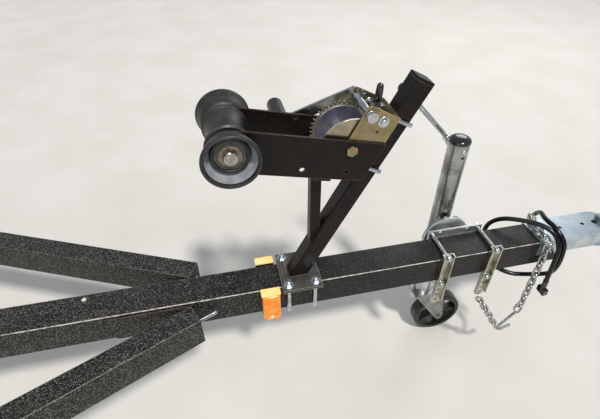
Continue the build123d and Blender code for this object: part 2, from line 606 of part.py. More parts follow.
def jack_parts():
    """Side-wind jack: clamp, pivot discs, tube, sliding leg, castering fork, wheel and crank."""
    parts = {}
    plate_thick, stub_end = 6.0, 56.0
    plate_rear, plate_front = JACK_X - 60.0, JACK_X + 85.0
    plate_outer = TONGUE_HALF + plate_thick
    disc_end = stub_end + JACK_DISC_THICK
    spigot_radius, spigot_end = 10.0, disc_end + 9.0
    mount = block(
        plate_rear, plate_front, TONGUE_HALF, plate_outer, JACK_MOUNT_BOTTOM_Z, JACK_MOUNT_TOP_Z,
    )
    mount += y_cylinder(JACK_TUBE_RADIUS, plate_outer, stub_end, JACK_X, JACK_PIVOT_Z)
    mount += y_cylinder(JACK_DISC_RADIUS, stub_end, disc_end, JACK_X, JACK_PIVOT_Z)
    mount += y_cylinder(spigot_radius, disc_end, spigot_end, JACK_X, JACK_PIVOT_Z)

    # Two channel straps on the starboard side, and four rods across the tongue
    strap_half, strap_top, tip_z, web = 14.0, 48.0, -116.0, 3.0
    rod_zs = (TONGUE_TOP_Z + 8.0, TONGUE_BOTTOM_Z - 7.8)
    straps, rods = [], []
    for x in (JACK_X - 48.0, JACK_X + 78.0):
        strap = block(x - strap_half, x + strap_half, -TONGUE_HALF - web, -TONGUE_HALF, tip_z, strap_top)
        strap += y_cylinder(strap_half, -TONGUE_HALF - web, -TONGUE_HALF, x, tip_z)
        for edge in (x - strap_half, x + strap_half - web):
            strap += block(edge, edge + web, -TONGUE_HALF - 12, -TONGUE_HALF, tip_z, strap_top)
        for z in (*rod_zs, -76.0, -96.0, -114.0):
            strap -= y_cylinder(U_BOLT_RADIUS + SEAT, -100, 0, x, z)
        straps.append(strap)
        for z in rod_zs:
            mount -= y_cylinder(U_BOLT_RADIUS + SEAT, 0, plate_outer + 2, x, z)
            rod = y_cylinder(U_BOLT_RADIUS, -TONGUE_HALF - web - 11, plate_outer + 9, x, z)
            rod += Pos(x, -TONGUE_HALF - web, z) * Rot(90, 0, 0) * hex_nut(14.0, 7.5)
            rod += Pos(x, plate_outer, z) * Rot(-90, 0, 0) * hex_nut(14.0, 7.5)
            rods.append(rod)
    parts["jack_mount"] = mount
    parts["jack_straps"] = Compound(children=straps)
    parts["jack_rods"] = Compound(children=rods)

    bore = JACK_TUBE_RADIUS - JACK_TUBE_WALL
    turning_face = disc_end + SEAT
    tube = y_cylinder(JACK_DISC_RADIUS, turning_face, turning_face + JACK_DISC_THICK, JACK_X, JACK_PIVOT_Z)
    tube += block(JACK_X - 22, JACK_X + 22, turning_face, JACK_Y, JACK_PIVOT_Z - 46, JACK_PIVOT_Z + 46)
    tube += z_cylinder(JACK_TUBE_RADIUS, JACK_TUBE_BOTTOM_Z, JACK_TOP_Z, JACK_X, JACK_Y)
    shaft_radius = 6.0
    boss_end = JACK_CRANK_Y - 12.0
    tube += y_cylinder(12.0, JACK_Y, boss_end, JACK_X, JACK_CRANK_Z)
    tube -= z_cylinder(bore, JACK_TUBE_BOTTOM_Z - 1, JACK_TOP_Z + 1, JACK_X, JACK_Y)
    tube -= y_cylinder(spigot_radius + RUN, disc_end, spigot_end + 1, JACK_X, JACK_PIVOT_Z)
    tube -= y_cylinder(shaft_radius + RUN, JACK_Y, boss_end + 1, JACK_X, JACK_CRANK_Z)
    parts["jack_tube"] = tube

    cap_height = 7.0
    cap = Cylinder(JACK_TUBE_RADIUS, cap_height)
    cap = Pos(0, 0, cap_height / 2) * fillet(cap.edges().group_by(Axis.Z)[-1], 4.0)
    cap += Pos(0, 0, -3) * Cylinder(bore - SEAT, 6)
    parts["jack_cap"] = Pos(JACK_X, JACK_Y, JACK_TOP_Z) * cap

    angle = radians(JACK_CRANK_ANGLE)
    grip_x = JACK_X - JACK_CRANK_LENGTH * cos(angle)
    grip_z = JACK_CRANK_Z + JACK_CRANK_LENGTH * sin(angle)
    rod_radius, pin_radius, grip_length = 6.0, 5.0, JACK_GRIP_LENGTH
    crank = y_cylinder(shaft_radius, JACK_Y + 12, JACK_CRANK_Y, JACK_X, JACK_CRANK_Z)
    crank += y_cylinder(10.0, JACK_CRANK_Y - 8, JACK_CRANK_Y + 8, JACK_X, JACK_CRANK_Z)
    middle = Pos((JACK_X + grip_x) / 2, JACK_CRANK_Y, (JACK_CRANK_Z + grip_z) / 2)
    crank += middle * Rot(0, JACK_CRANK_ANGLE - 90, 0) * Cylinder(rod_radius, JACK_CRANK_LENGTH)
    crank += Pos(grip_x, JACK_CRANK_Y, grip_z) * Sphere(rod_radius + 1)
    crank += y_cylinder(pin_radius, JACK_CRANK_Y, JACK_CRANK_Y + grip_length + 4, grip_x, grip_z)
    parts["jack_crank"] = crank
    grip = Pos(0, 0, grip_length / 2) * Cylinder(JACK_GRIP_RADIUS, grip_length)
    grip = fillet(grip.edges(), 4.0) - Cylinder(pin_radius + SEAT, 2 * (grip_length - 4.0) + 2)
    parts["jack_crank_grip"] = Pos(grip_x, JACK_CRANK_Y + 8.0, grip_z) * Rot(-90, 0, 0) * grip

    # Leg, with the kingpin that carries the fork
    leg_bottom = JACK_FORK_TOP_Z + SEAT
    pin, pin_head, fork_thick = 8.0, 14.0, 6.0
    head_top = JACK_FORK_TOP_Z - fork_thick - SEAT
    leg = z_cylinder(JACK_LEG_RADIUS, leg_bottom, 115, JACK_X, JACK_Y)
    leg -= z_cylinder(JACK_LEG_RADIUS - 2.5, leg_bottom + 6, 116, JACK_X, JACK_Y)
    leg += z_cylinder(pin, head_top - 4, leg_bottom, JACK_X, JACK_Y)
    leg += z_cylinder(pin_head, head_top - 4, head_top, JACK_X, JACK_Y)
    parts["jack_leg"] = leg

    axle_x = JACK_X + JACK_TRAIL
    axle_z = GROUND_Z + JACK_WHEEL_RADIUS
    leg_in = JACK_WHEEL_WIDTH / 2 + 5.0
    leg_out = leg_in + 5.0
    fork_bottom = JACK_FORK_TOP_Z - fork_thick
    fork = block(JACK_X - 30, axle_x - 8, JACK_Y - leg_out, JACK_Y + leg_out, fork_bottom, JACK_FORK_TOP_Z)
    side_outline = [
        (JACK_X - 30, JACK_FORK_TOP_Z), (axle_x - 8, JACK_FORK_TOP_Z),
        (axle_x + 14, axle_z), (axle_x - 13, axle_z - 5),
    ]
    for y0, y1 in ((JACK_Y - leg_out, JACK_Y - leg_in), (JACK_Y + leg_in, JACK_Y + leg_out)):
        fork += xz_prism(side_outline, y0, y1) + y_cylinder(14.0, y0, y1, axle_x, axle_z)
    wheel_pin = 6.0
    fork += y_cylinder(wheel_pin, JACK_Y - leg_out - 6, JACK_Y + leg_out + 6, axle_x, axle_z)
    fork -= z_cylinder(pin + RUN, fork_bottom - 1, JACK_FORK_TOP_Z + 1, JACK_X, JACK_Y)
    parts["jack_fork"] = fork

    # Open-spoked jack wheel
    half, rim_inner, hub_radius, spokes = JACK_WHEEL_WIDTH / 2, JACK_WHEEL_RADIUS - 14.0, 16.0, 5
    wheel = Cylinder(JACK_WHEEL_RADIUS, 2 * half)
    wheel = fillet(wheel.edges(), 6.0) - Cylinder(rim_inner, 2 * half + 2)
    wheel += Cylinder(hub_radius, 2 * half + 4)
    for i in range(spokes):
        spoke_length = rim_inner - hub_radius + 8
        spoke = Pos(hub_radius - 4 + spoke_length / 2, 0, 0) * Box(spoke_length, 8, 2 * half - 12)
        wheel += Rot(0, 0, 360 * i / spokes) * spoke
    wheel -= Cylinder(wheel_pin + RUN, 2 * half + 10)
    parts["jack_wheel"] = Pos(axle_x, JACK_Y, axle_z) * Rot(90, 0, 0) * wheel
    return parts


def axle_parts():
    """Square axle with spindles, and hub, rim and tyre at each end."""
    beam_end, spindle_end = TRACK_HALF - 105.0, TRACK_HALF + 10.0
    outer, inner = AXLE_SIZE / 2, AXLE_SIZE / 2 - AXLE_WALL
    bore_end = beam_end - 20.0
    beam = block(AXLE_X - outer, AXLE_X + outer, -beam_end, beam_end, AXLE_Z - outer, AXLE_Z + outer)
    beam -= block(AXLE_X - inner, AXLE_X + inner, -bore_end, bore_end, AXLE_Z - inner, AXLE_Z + inner)
    for side in (-1, 1):
        beam += y_cylinder(SPINDLE_RADIUS, side * (beam_end - 5), side * spindle_end, AXLE_X, AXLE_Z)
    parts = {"axle_beam": beam}

    # Port hub: the flange's outer face carries the rim's disc
    face_y, barrel_radius = TRACK_HALF - 5.0, 35.0
    disc_outer = face_y + RIM_WALL
    barrel_in, barrel_out = face_y - 72.0, face_y + 22.0
    through = (barrel_in - 40.0, barrel_out + 60.0)
    hub = y_cylinder(barrel_radius, barrel_in, barrel_out, 0, 0)
    hub += y_cylinder(26.0, barrel_out, barrel_out + 14.0, 0, 0)
    hub += y_cylinder(72.0, face_y - 9, face_y, 0, 0)
    hub -= y_cylinder(SPINDLE_RADIUS + RUN, barrel_in - 8.0, spindle_end + 2.0, 0, 0)
    rim_edge = RIM_WIDTH / 2
    flange_radius = RIM_SEAT_RADIUS + 12.0
    rim = y_cylinder(RIM_SEAT_RADIUS, TRACK_HALF - rim_edge, TRACK_HALF + rim_edge, 0, 0)
    for side in (-1, 1):
        edge = TRACK_HALF + side * rim_edge
        rim += y_cylinder(flange_radius, edge - side * RIM_WALL, edge, 0, 0)
    rim -= y_cylinder(RIM_SEAT_RADIUS - RIM_WALL, *through, 0, 0)
    disc = y_cylinder(RIM_SEAT_RADIUS - RIM_WALL + 1, face_y, disc_outer, 0, 0)
    disc -= y_cylinder(barrel_radius + SEAT, *through, 0, 0)
    for i in range(STUD_COUNT):
        turn = 2 * pi * i / STUD_COUNT
        x, z = STUD_CIRCLE_RADIUS * cos(turn), STUD_CIRCLE_RADIUS * sin(turn)
        disc -= y_cylinder(STUD_RADIUS + SEAT, *through, x, z)
        hub += y_cylinder(STUD_RADIUS, face_y - 12, disc_outer + 20, x, z)
        hub += Pos(x, disc_outer, z) * Rot(-90, 0, 0) * hex_nut(19.0, 15.0)
        x, z = 120.0 * cos(turn + pi / STUD_COUNT), 120.0 * sin(turn + pi / STUD_COUNT)
        disc -= y_cylinder(14.0, *through, x, z)
    bead = RIM_SEAT_RADIUS + SEAT
    half = TYRE_WIDTH / 2
    outer = [(bead, 53), (bead + 13, 53), (198, 80), (236, half), (284, 80), (TYRE_RADIUS, 62)]
    cavity = [(bead, 44), (182, 44), (204, 71), (240, 79), (284, 66)]
    section = outer + [(r, -y) for r, y in reversed(outer)]
    hollow = cavity + [(r, -y) for r, y in reversed(cavity)]
    tyre = revolve(make_face(Polyline([(r, y, 0) for r, y in section], close=True)), axis=Axis.Y)
    tyre -= revolve(make_face(Polyline([(r, y, 0) for r, y in hollow], close=True)), axis=Axis.Y)
    at_axle = Pos(AXLE_X, 0, AXLE_Z)
    for name, shape in (("hub", hub), ("rim", rim + disc), ("tyre", Pos(0, TRACK_HALF, 0) * tyre)):
        parts[f"{name}_left"] = at_axle * shape
        parts[f"{name}_right"] = mirror(at_axle * shape, about=Plane.XZ)
    return parts


def spring_parts():
    """Leaf springs, their hangers with pins, and the clamps round the axle, the same on both sides."""
    pack_bottom = AXLE_Z + AXLE_SIZE / 2
    leaf_count = len(LEAF_SHARES)
    half_width = SPRING_WIDTH / 2
    y0, y1 = RAIL_HALF_SPACING - half_width, RAIL_HALF_SPACING + half_width
    main_bottom = pack_bottom + (leaf_count - 1) * LEAF_THICK
    rise = SPRING_EYE_Z - LEAF_THICK / 2 - main_bottom
    arc_radius = (SPRING_HALF ** 2 + rise ** 2) / (2 * rise)
    spring = None
    for i, share in enumerate(LEAF_SHARES):
        bottom = main_bottom - i * LEAF_THICK
        centre_z = bottom + arc_radius
        leaf = y_cylinder(arc_radius, y0, y1, AXLE_X, centre_z)
        leaf -= y_cylinder(arc_radius - LEAF_THICK, y0 - 1, y1 + 1, AXLE_X, centre_z)
        reach = share * SPRING_HALF
        leaf &= block(AXLE_X - reach, AXLE_X + reach, y0, y1, bottom - 1, bottom + 60)
        spring = leaf if spring is None else spring + leaf
    eye_xs = (AXLE_X - SPRING_HALF, AXLE_X + SPRING_HALF)
    for x in eye_xs:
        spring += y_cylinder(SPRING_EYE_RADIUS, y0, y1, x, SPRING_EYE_Z)
        spring -= y_cylinder(SPRING_PIN_RADIUS + SEAT, y0 - 1, y1 + 1, x, SPRING_EYE_Z)

    # The pack's seat is flat on the axle
    seat_half = 45.0
    spring += block(AXLE_X - seat_half, AXLE_X + seat_half, y0, y1, pack_bottom, pack_bottom + 8)
    spring -= block(AXLE_X - 400, AXLE_X + 400, y0 - 1, y1 + 1, pack_bottom - 20, pack_bottom)

    plate = 5.0
    near, far, low = y0 - SEAT - plate, y1 + SEAT, SPRING_EYE_Z - 16.0
    hangers = []
    for x in eye_xs:
        hanger = block(x - 28, x + 28, near, far + plate, RAIL_BOTTOM_Z - plate, RAIL_BOTTOM_Z)
        for edge in (near, far):
            side = [(x - 28, RAIL_BOTTOM_Z), (x + 28, RAIL_BOTTOM_Z), (x + 15, low), (x - 15, low)]
            hanger += xz_prism(side, edge, edge + plate)
        hanger += y_cylinder(SPRING_PIN_RADIUS, y0 - 12, y1 + 12, x, SPRING_EYE_Z)
        hangers += [hanger, mirror(hanger, about=Plane.XZ)]

    leg_x = AXLE_SIZE / 2 + SEAT + U_BOLT_RADIUS
    leg_y = half_width + SEAT + U_BOLT_RADIUS
    pack_top = main_bottom + LEAF_THICK
    top = pack_top + 1.2 + U_BOLT_RADIUS
    pad_top = AXLE_Z - AXLE_SIZE / 2
    pad_bottom = pad_top - 8.0
    pad = block(AXLE_X - 48, AXLE_X + 48, y0 - 20, y1 + 20, pad_bottom, pad_top)
    tip = pad_bottom - 16.0
    near, far = RAIL_HALF_SPACING - leg_y, RAIL_HALF_SPACING + leg_y
    clamps = []
    for x in (AXLE_X - leg_x, AXLE_X + leg_x):
        bolt = tube_along([(x, near, tip), (x, near, top), (x, far, top), (x, far, tip)], 6.0, U_BOLT_RADIUS)
        for y in (near, far):
            pad -= z_cylinder(U_BOLT_RADIUS + SEAT, pad_bottom - 1, pad_top + 1, x, y)
            bolt += Pos(x, y, pad_bottom - 8) * hex_nut(14.0, 8.0)
        clamps += [bolt, mirror(bolt, about=Plane.XZ)]
    clamps += [pad, mirror(pad, about=Plane.XZ)]
    return {
        "leaf_springs": both_sides(spring),
        "spring_hangers": Compound(children=hangers),
        "axle_clamps": Compound(children=clamps),
    }


def fender_parts():
    """Pressed fenders over the tyres and the bars that carry them."""
    outer, inner = FENDER_RADIUS + FENDER_WALL / 2, FENDER_RADIUS - FENDER_WALL / 2
    step_top, step_bottom = FENDER_STEP_Z + FENDER_WALL / 2, FENDER_STEP_Z - FENDER_WALL / 2
    y0, y1 = FENDER_INNER_Y, FENDER_OUTER_Y
    reach = sqrt(outer ** 2 - (step_bottom - AXLE_Z) ** 2)
    far = reach + FENDER_STEP_LENGTH
    solid = y_cylinder(outer, y0, y1, AXLE_X, AXLE_Z)
    solid += block(AXLE_X - far, AXLE_X + far, y0, y1, step_bottom - 200, step_top)
    solid -= block(AXLE_X - 600, AXLE_X + 600, y0 - 1, y1 + 1, -900, step_bottom)
    fender = solid - y_cylinder(inner, y0 - 1, y1 - FENDER_WALL, AXLE_X, AXLE_Z)
    fender -= y_cylinder(outer - FENDER_LIP, y0 - 1, y1 + 1, AXLE_X, AXLE_Z)
    lip = block(AXLE_X - far, AXLE_X + far, y1 - FENDER_WALL, y1, step_bottom - 16, step_bottom)
    fender += lip - y_cylinder(outer - FENDER_LIP, y0, y1 + 1, AXLE_X, AXLE_Z)
    bars = []
    for x in (AXLE_X - far + 40, AXLE_X + far - 40):
        bar = block(x - 20, x + 20, RAIL_OUTER_Y, y1 - 40, step_bottom - 6, step_bottom)
        bars += [bar, mirror(bar, about=Plane.XZ)]
    return {
        "fender_left": fender,
        "fender_right": mirror(fender, about=Plane.XZ),
        "fender_brackets": Compound(children=bars),
    }


def bunk_parts():
    """Carpeted bunks, tilted inward, on posts from the middle and rear cross members."""
    length = BUNK_FRONT_X - BUNK_REAR_X
    board = Box(length, BUNK_WIDTH, BUNK_THICK)
    board = fillet(board.edges().filter_by(Axis.X), 8.0)
    middle_z = RAIL_TOP_Z + BUNK_RISE + BUNK_THICK / 2
    place = Pos((BUNK_FRONT_X + BUNK_REAR_X) / 2, BUNK_Y, middle_z) * Rot(BUNK_TILT, 0, 0)
    bunk = place * board
    above = place * block(-length, length, -200, 200, -BUNK_THICK / 2, 400)
    posts = []
    for x in (CROSS_MIDDLE_X, CROSS_REAR_X):
        post = block(x - 22, x + 22, BUNK_Y - 3, BUNK_Y + 3, RAIL_TOP_Z, middle_z)
        post += block(x - 3, x + 3, BUNK_Y - 32, BUNK_Y + 32, RAIL_TOP_Z, middle_z)
        post += block(x - 24, x + 24, BUNK_Y - 36, BUNK_Y + 36, RAIL_TOP_Z, RAIL_TOP_Z + 6)
        post -= above
        posts += [post, mirror(post, about=Plane.XZ)]
    return {
        "bunk_left": bunk,
        "bunk_right": mirror(bunk, about=Plane.XZ),
        "bunk_brackets": Compound(children=posts),
    }


def lamp_parts():
    """Amber markers beside the tongue, rear lamps on their brackets and the number plate's bracket."""
    marker = block(
        MARKER_X - MARKER_LENGTH / 2, MARKER_X + MARKER_LENGTH / 2,
        TONGUE_HALF, TONGUE_HALF + MARKER_DEPTH, MARKER_TOP_Z - MARKER_HEIGHT, MARKER_TOP_Z,
    )
    marker = fillet(marker.edges().group_by(Axis.Y)[-1], 6.0)
    thick, housing_depth = 6.0, TAIL_LAMP_DEPTH - 8.0
    back = RAIL_REAR_X - thick
    half_width, half_height = TAIL_LAMP_WIDTH / 2, TAIL_LAMP_HEIGHT / 2
    middle_z = RAIL_TOP_Z - RAIL_HEIGHT / 2
    bracket = block(back, RAIL_REAR_X, RAIL_INNER_Y, TAIL_LAMP_Y + 40, middle_z - 32, middle_z + 32)
    box = (TAIL_LAMP_Y - half_width, TAIL_LAMP_Y + half_width, middle_z - half_height, middle_z + half_height)
    housing = block(back - housing_depth, back, *box)
    housing = fillet(housing.edges().filter_by(Axis.X), 8.0)
    lens = block(back - TAIL_LAMP_DEPTH, back - housing_depth, *box)
    lens = fillet(lens.edges().filter_by(Axis.X), 8.0)
    lens = fillet(lens.edges().group_by(Axis.X)[0], 3.0)

    # The number plate's bracket stands on the rear cross member, port of the middle
    plate_y, sheet = 250.0, 3.0
    hole_z = RAIL_TOP_Z + 22.0
    low = hole_z + 14.0 - PLATE_HEIGHT
    half_plate = PLATE_WIDTH / 2
    plate = block(RAIL_REAR_X - sheet, RAIL_REAR_X, plate_y - half_plate, plate_y + half_plate, low, hole_z + 14)
    for side in (-1, 1):
        y = plate_y + side * PLATE_HOLE_SPACING / 2
        plate -= x_cylinder(PLATE_HOLE_RADIUS, RAIL_REAR_X - 20, RAIL_REAR_X + 20, y, hole_z)
    return {
        "marker_lamps": both_sides(marker),
        "rear_brackets": Compound(children=[bracket, mirror(bracket, about=Plane.XZ), plate]),
        "rear_lamp_housings": both_sides(housing),
        "rear_lamp_lenses": both_sides(lens),
    }


def chain_links(points):
    """Interlocked links, alternate ones turned a quarter, hooked one to the next along a path."""
    path = Polyline(*points)
    count = round(path.length / LINK_PITCH)
    joints = [path @ (i / count) for i in range(count + 1)]
    wire = WIRE_RADIUS - 0.2
    slack = 0.9
    half_straight = (LINK_PITCH + 2 * WIRE_RADIUS + slack - LINK_WIDTH + 2 * WIRE_RADIUS) / 2
    middle_radius = LINK_WIDTH / 2 - WIRE_RADIUS

    def outline(radius):
        corners = []
        for end, first in ((1, -90), (-1, 90)):
            for step in range(5):
                turn = radians(first + 45 * step)
                corners.append((end * half_straight + radius * cos(turn), radius * sin(turn)))
        return make_face(Polyline(corners, close=True))

    flat = extrude(outline(middle_radius + wire) - outline(middle_radius - wire), amount=wire, both=True)
    links = []
    for i in range(count):
        start, end = joints[i], joints[i + 1]
        along = (end - start).normalized()
        side = along.cross(Vector(0.31, 0.22, 0.92)).normalized()
        up = side.cross(along)
        turned = up + side if i % 2 else up - side
        frame = Plane(origin=(start + end) / 2, x_dir=along, z_dir=turned.normalized())
        links.append(frame.location * flat)
    return links


def chain_parts():
    """Two runs of safety chain over and beside the coupler, and the hook that joins them."""
    links = chain_links(CHAIN_OVER_COUPLER) + chain_links(CHAIN_FROM_HOOK)
    hook = tube_along(HOOK_POINTS, HOOK_BENDS, HOOK_RADIUS)
    return {"safety_chains": Compound(children=links), "chain_hook": hook}


def cord_parts():
    """Lighting harness from the tongue's underside, looped over the tongue, and its flat plug."""
    points = [Vector(*point) for point in CORD_POINTS]
    radii = []
    for before, corner, after in zip(points, points[1:], points[2:]):
        arriving, leaving = corner - before, after - corner
        half_turn = radians(arriving.get_angle(leaving)) / 2
        shorter = min(arriving.length, leaving.length)
        radii.append(CORD_RUN_SHARE * shorter / tan(half_turn))
    print("cord radii", " ".join(f"{radius:.0f}" for radius in radii))
    cord = tube_along(points, radii, CORD_RADIUS)
    end = points[-1]
    along = (points[-1] - points[-2]).normalized()
    at_end = Plane(origin=end, x_dir=(1, 0, 0), z_dir=along).location
    plug = Pos(0, 0, 15) * Cylinder(7.0, 30) + Pos(0, 0, 38) * Box(14, 26, 18)
    plug -= Pos(0, 0, 4) * Cylinder(CORD_RADIUS + SEAT, 8.2)
    return {"harness_cord": cord, "harness_plug": at_end * (Pos(0, 0, -8) * plug)}


parts = {}
for build in (
    frame_parts, coupler_parts, post_parts, bracket_parts, winch_parts, jack_parts, axle_parts,
    spring_parts, fender_parts, bunk_parts, lamp_parts, chain_parts, cord_parts,
):
    parts.update(build())
for name, shape in parts.items():
    export_step(shape, f"parts/{name}.step")
print(len(parts), "parts")
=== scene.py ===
"""Boat trailer, dressed for its portrait: finishes, fastenings, chain links, treads, lamps and light."""
import logging
from dataclasses import dataclass
from enum import Enum
from math import cos, pi, radians, sin
from typing import Callable, Optional, Sequence, Union

import bmesh
import bpy
from mathutils import Matrix, Vector


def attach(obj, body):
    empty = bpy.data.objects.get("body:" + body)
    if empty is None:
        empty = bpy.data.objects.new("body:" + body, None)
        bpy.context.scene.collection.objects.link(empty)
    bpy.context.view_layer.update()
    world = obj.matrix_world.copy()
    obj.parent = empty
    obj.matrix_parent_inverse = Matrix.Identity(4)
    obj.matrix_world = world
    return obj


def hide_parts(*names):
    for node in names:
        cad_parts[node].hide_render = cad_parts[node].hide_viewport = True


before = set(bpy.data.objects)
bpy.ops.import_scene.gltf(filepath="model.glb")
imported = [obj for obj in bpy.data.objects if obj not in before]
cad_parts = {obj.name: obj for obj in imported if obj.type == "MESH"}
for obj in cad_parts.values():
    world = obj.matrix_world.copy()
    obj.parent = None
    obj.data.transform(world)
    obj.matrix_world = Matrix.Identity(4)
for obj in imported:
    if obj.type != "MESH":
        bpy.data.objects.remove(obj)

log = logging.getLogger("boat_trailer")

Point = tuple[float, float, float]
Colour = tuple[float, float, float]
Outline = Sequence[tuple[float, float]]
Shape = tuple[list[Point], list[tuple[int, ...]]]
Node = bpy.types.Node
Socket = bpy.types.NodeSocket

UP: Point = (0, 0, 1)
PORT: Point = (0, 1, 0)
STARBOARD: Point = (0, -1, 0)

GROUND_Z = -0.440

TONGUE_HALF = 0.0381
TONGUE_TOP_Z = 0.030
CLAMP_TOP_Z = 0.038
RAIL_BEND_SINE, RAIL_BEND_COSINE = sin(radians(24.2)), cos(radians(24.2))
RAIL_MIDDLE_Z = -0.0114
FADE_REAR_X, FADE_FRONT_X = -1.25, -0.70
WINCH_CRANK_X, WINCH_CRANK_Z = -0.67817, 0.43933
WINCH_PAWL_X, WINCH_PAWL_Z = -0.65400, 0.42510
ARM_HALF_GAP = 0.041
JACK_X, JACK_Y, JACK_TOP_Z = -0.395, 0.099, 0.270
THREAD_PLAY = 0.0002

WEAR_WIDTH = 0.0018
ROUGH_SPREAD = 0.08
SPECKLE_ROUGH, WORN_AND_HIGHLIT_ROUGH, COVERED_ROUGH = 0.55, 0.40, 0.85


def linear(code: str) -> Colour:
    """Turn a hex colour into the linear values that a shader takes.

    Args:
        code: Six hex digits, such as "1c1b1b".

    Returns:
        Red, green and blue between 0 and 1, linear.
    """
    channels = [int(code[i:i + 2], 16) / 255 for i in (0, 2, 4)]
    return tuple(c / 12.92 if c <= 0.04045 else ((c + 0.055) / 1.055) ** 2.4 for c in channels)


class Graph:
    """A node tree with short calls for adding and joining nodes."""

    def __init__(self, tree: bpy.types.NodeTree) -> None:
        """Hold the tree that the calls add to."""
        self.tree = tree

    def add(self, kind: str, inputs: Optional[dict] = None, **settings: object) -> Node:
        """Add a node, set its properties and fill or link its inputs.

        Args:
            kind: The node's type name.
            inputs: Socket name or number to a value or to another node's output socket.
            settings: Properties of the node.

        Returns:
            The new node.
        """
        node = self.tree.nodes.new(kind)
        for key, value in settings.items():
            setattr(node, key, value)
        for key, value in (inputs or {}).items():
            if isinstance(value, Socket):
                self.tree.links.new(value, node.inputs[key])
            else:
                node.inputs[key].default_value = value
        return node

    def math(self, operation: str, a: object, b: object = 0.0, clamp: bool = False) -> Socket:
        """Return the output of a Math node on two values or sockets."""
        return self.add("ShaderNodeMath", {0: a, 1: b}, operation=operation, use_clamp=clamp).outputs[0]

    def ramp(self, value: object, low: float, high: float) -> Socket:
        """Return a value mapped from low..high to 0..1 with smooth ends.

        Args:
            value: A number or a socket.
            low: The value that gives 0.
            high: The value that gives 1, which may be less than low.

        Returns:
            Socket of the mapped value.
        """
        node = self.add("ShaderNodeMapRange", {"Value": value, "From Min": low, "From Max": high},
                        interpolation_type="SMOOTHSTEP")
        return node.outputs["Result"]

    def place(self) -> Socket:
        """Return object coordinates, which are metres in the trailer's frame."""
        return self.add("ShaderNodeTexCoord").outputs["Object"]

    def noise(self, scale: object, detail: float = 3.0, rough: object = 0.55) -> Socket:
        """Return a noise value at a scale in cells per metre.

        Args:
            scale: Cells per metre, as a number or a socket.
            detail: Layers of finer noise.
            rough: How strong the finer layers are, as a number or a socket.

        Returns:
            Socket of the noise.
        """
        node = self.add("ShaderNodeTexNoise", {"Vector": self.place(), "Scale": scale, "Detail": detail,
                                               "Roughness": rough})
        return node.outputs["Fac"]

    def mix(self, share: object, a: object, b: object) -> Socket:
        """Return two colours mixed by a share of the second.

        Args:
            share: How much of the second colour shows, as a number or a socket.
            a: The first colour, as a colour or a socket.
            b: The second colour, as a colour or a socket.

        Returns:
            Socket of the mixed colour.
        """
        node = self.add("ShaderNodeMix", data_type="RGBA")
        for socket, value in ((node.inputs[0], share), (node.inputs[6], a), (node.inputs[7], b)):
            if isinstance(value, Socket):
                self.tree.links.new(value, socket)
            elif isinstance(value, tuple):
                socket.default_value = (*value, 1.0)
            else:
                socket.default_value = value
        return node.outputs[2]


def effect(name: str, inputs: dict[str, float], output: str,
           fill: Callable[[Graph, Node], Socket]) -> bpy.types.NodeTree:
    """Build one shared effect as a node group with named sockets.

    Args:
        name: The group's name.
        inputs: Float inputs and their defaults.
        output: Name of the float output.
        fill: Adds the nodes and returns the socket that the output shows.

    Returns:
        The group's tree.
    """
    tree = bpy.data.node_groups.new(name, "ShaderNodeTree")
    for key, value in inputs.items():
        tree.interface.new_socket(key, in_out="INPUT", socket_type="NodeSocketFloat").default_value = value
    tree.interface.new_socket(output, in_out="OUTPUT", socket_type="NodeSocketFloat")
    graph = Graph(tree)
    source = graph.add("NodeGroupInput")
    graph.add("NodeGroupOutput", {output: fill(graph, source)})
    return tree


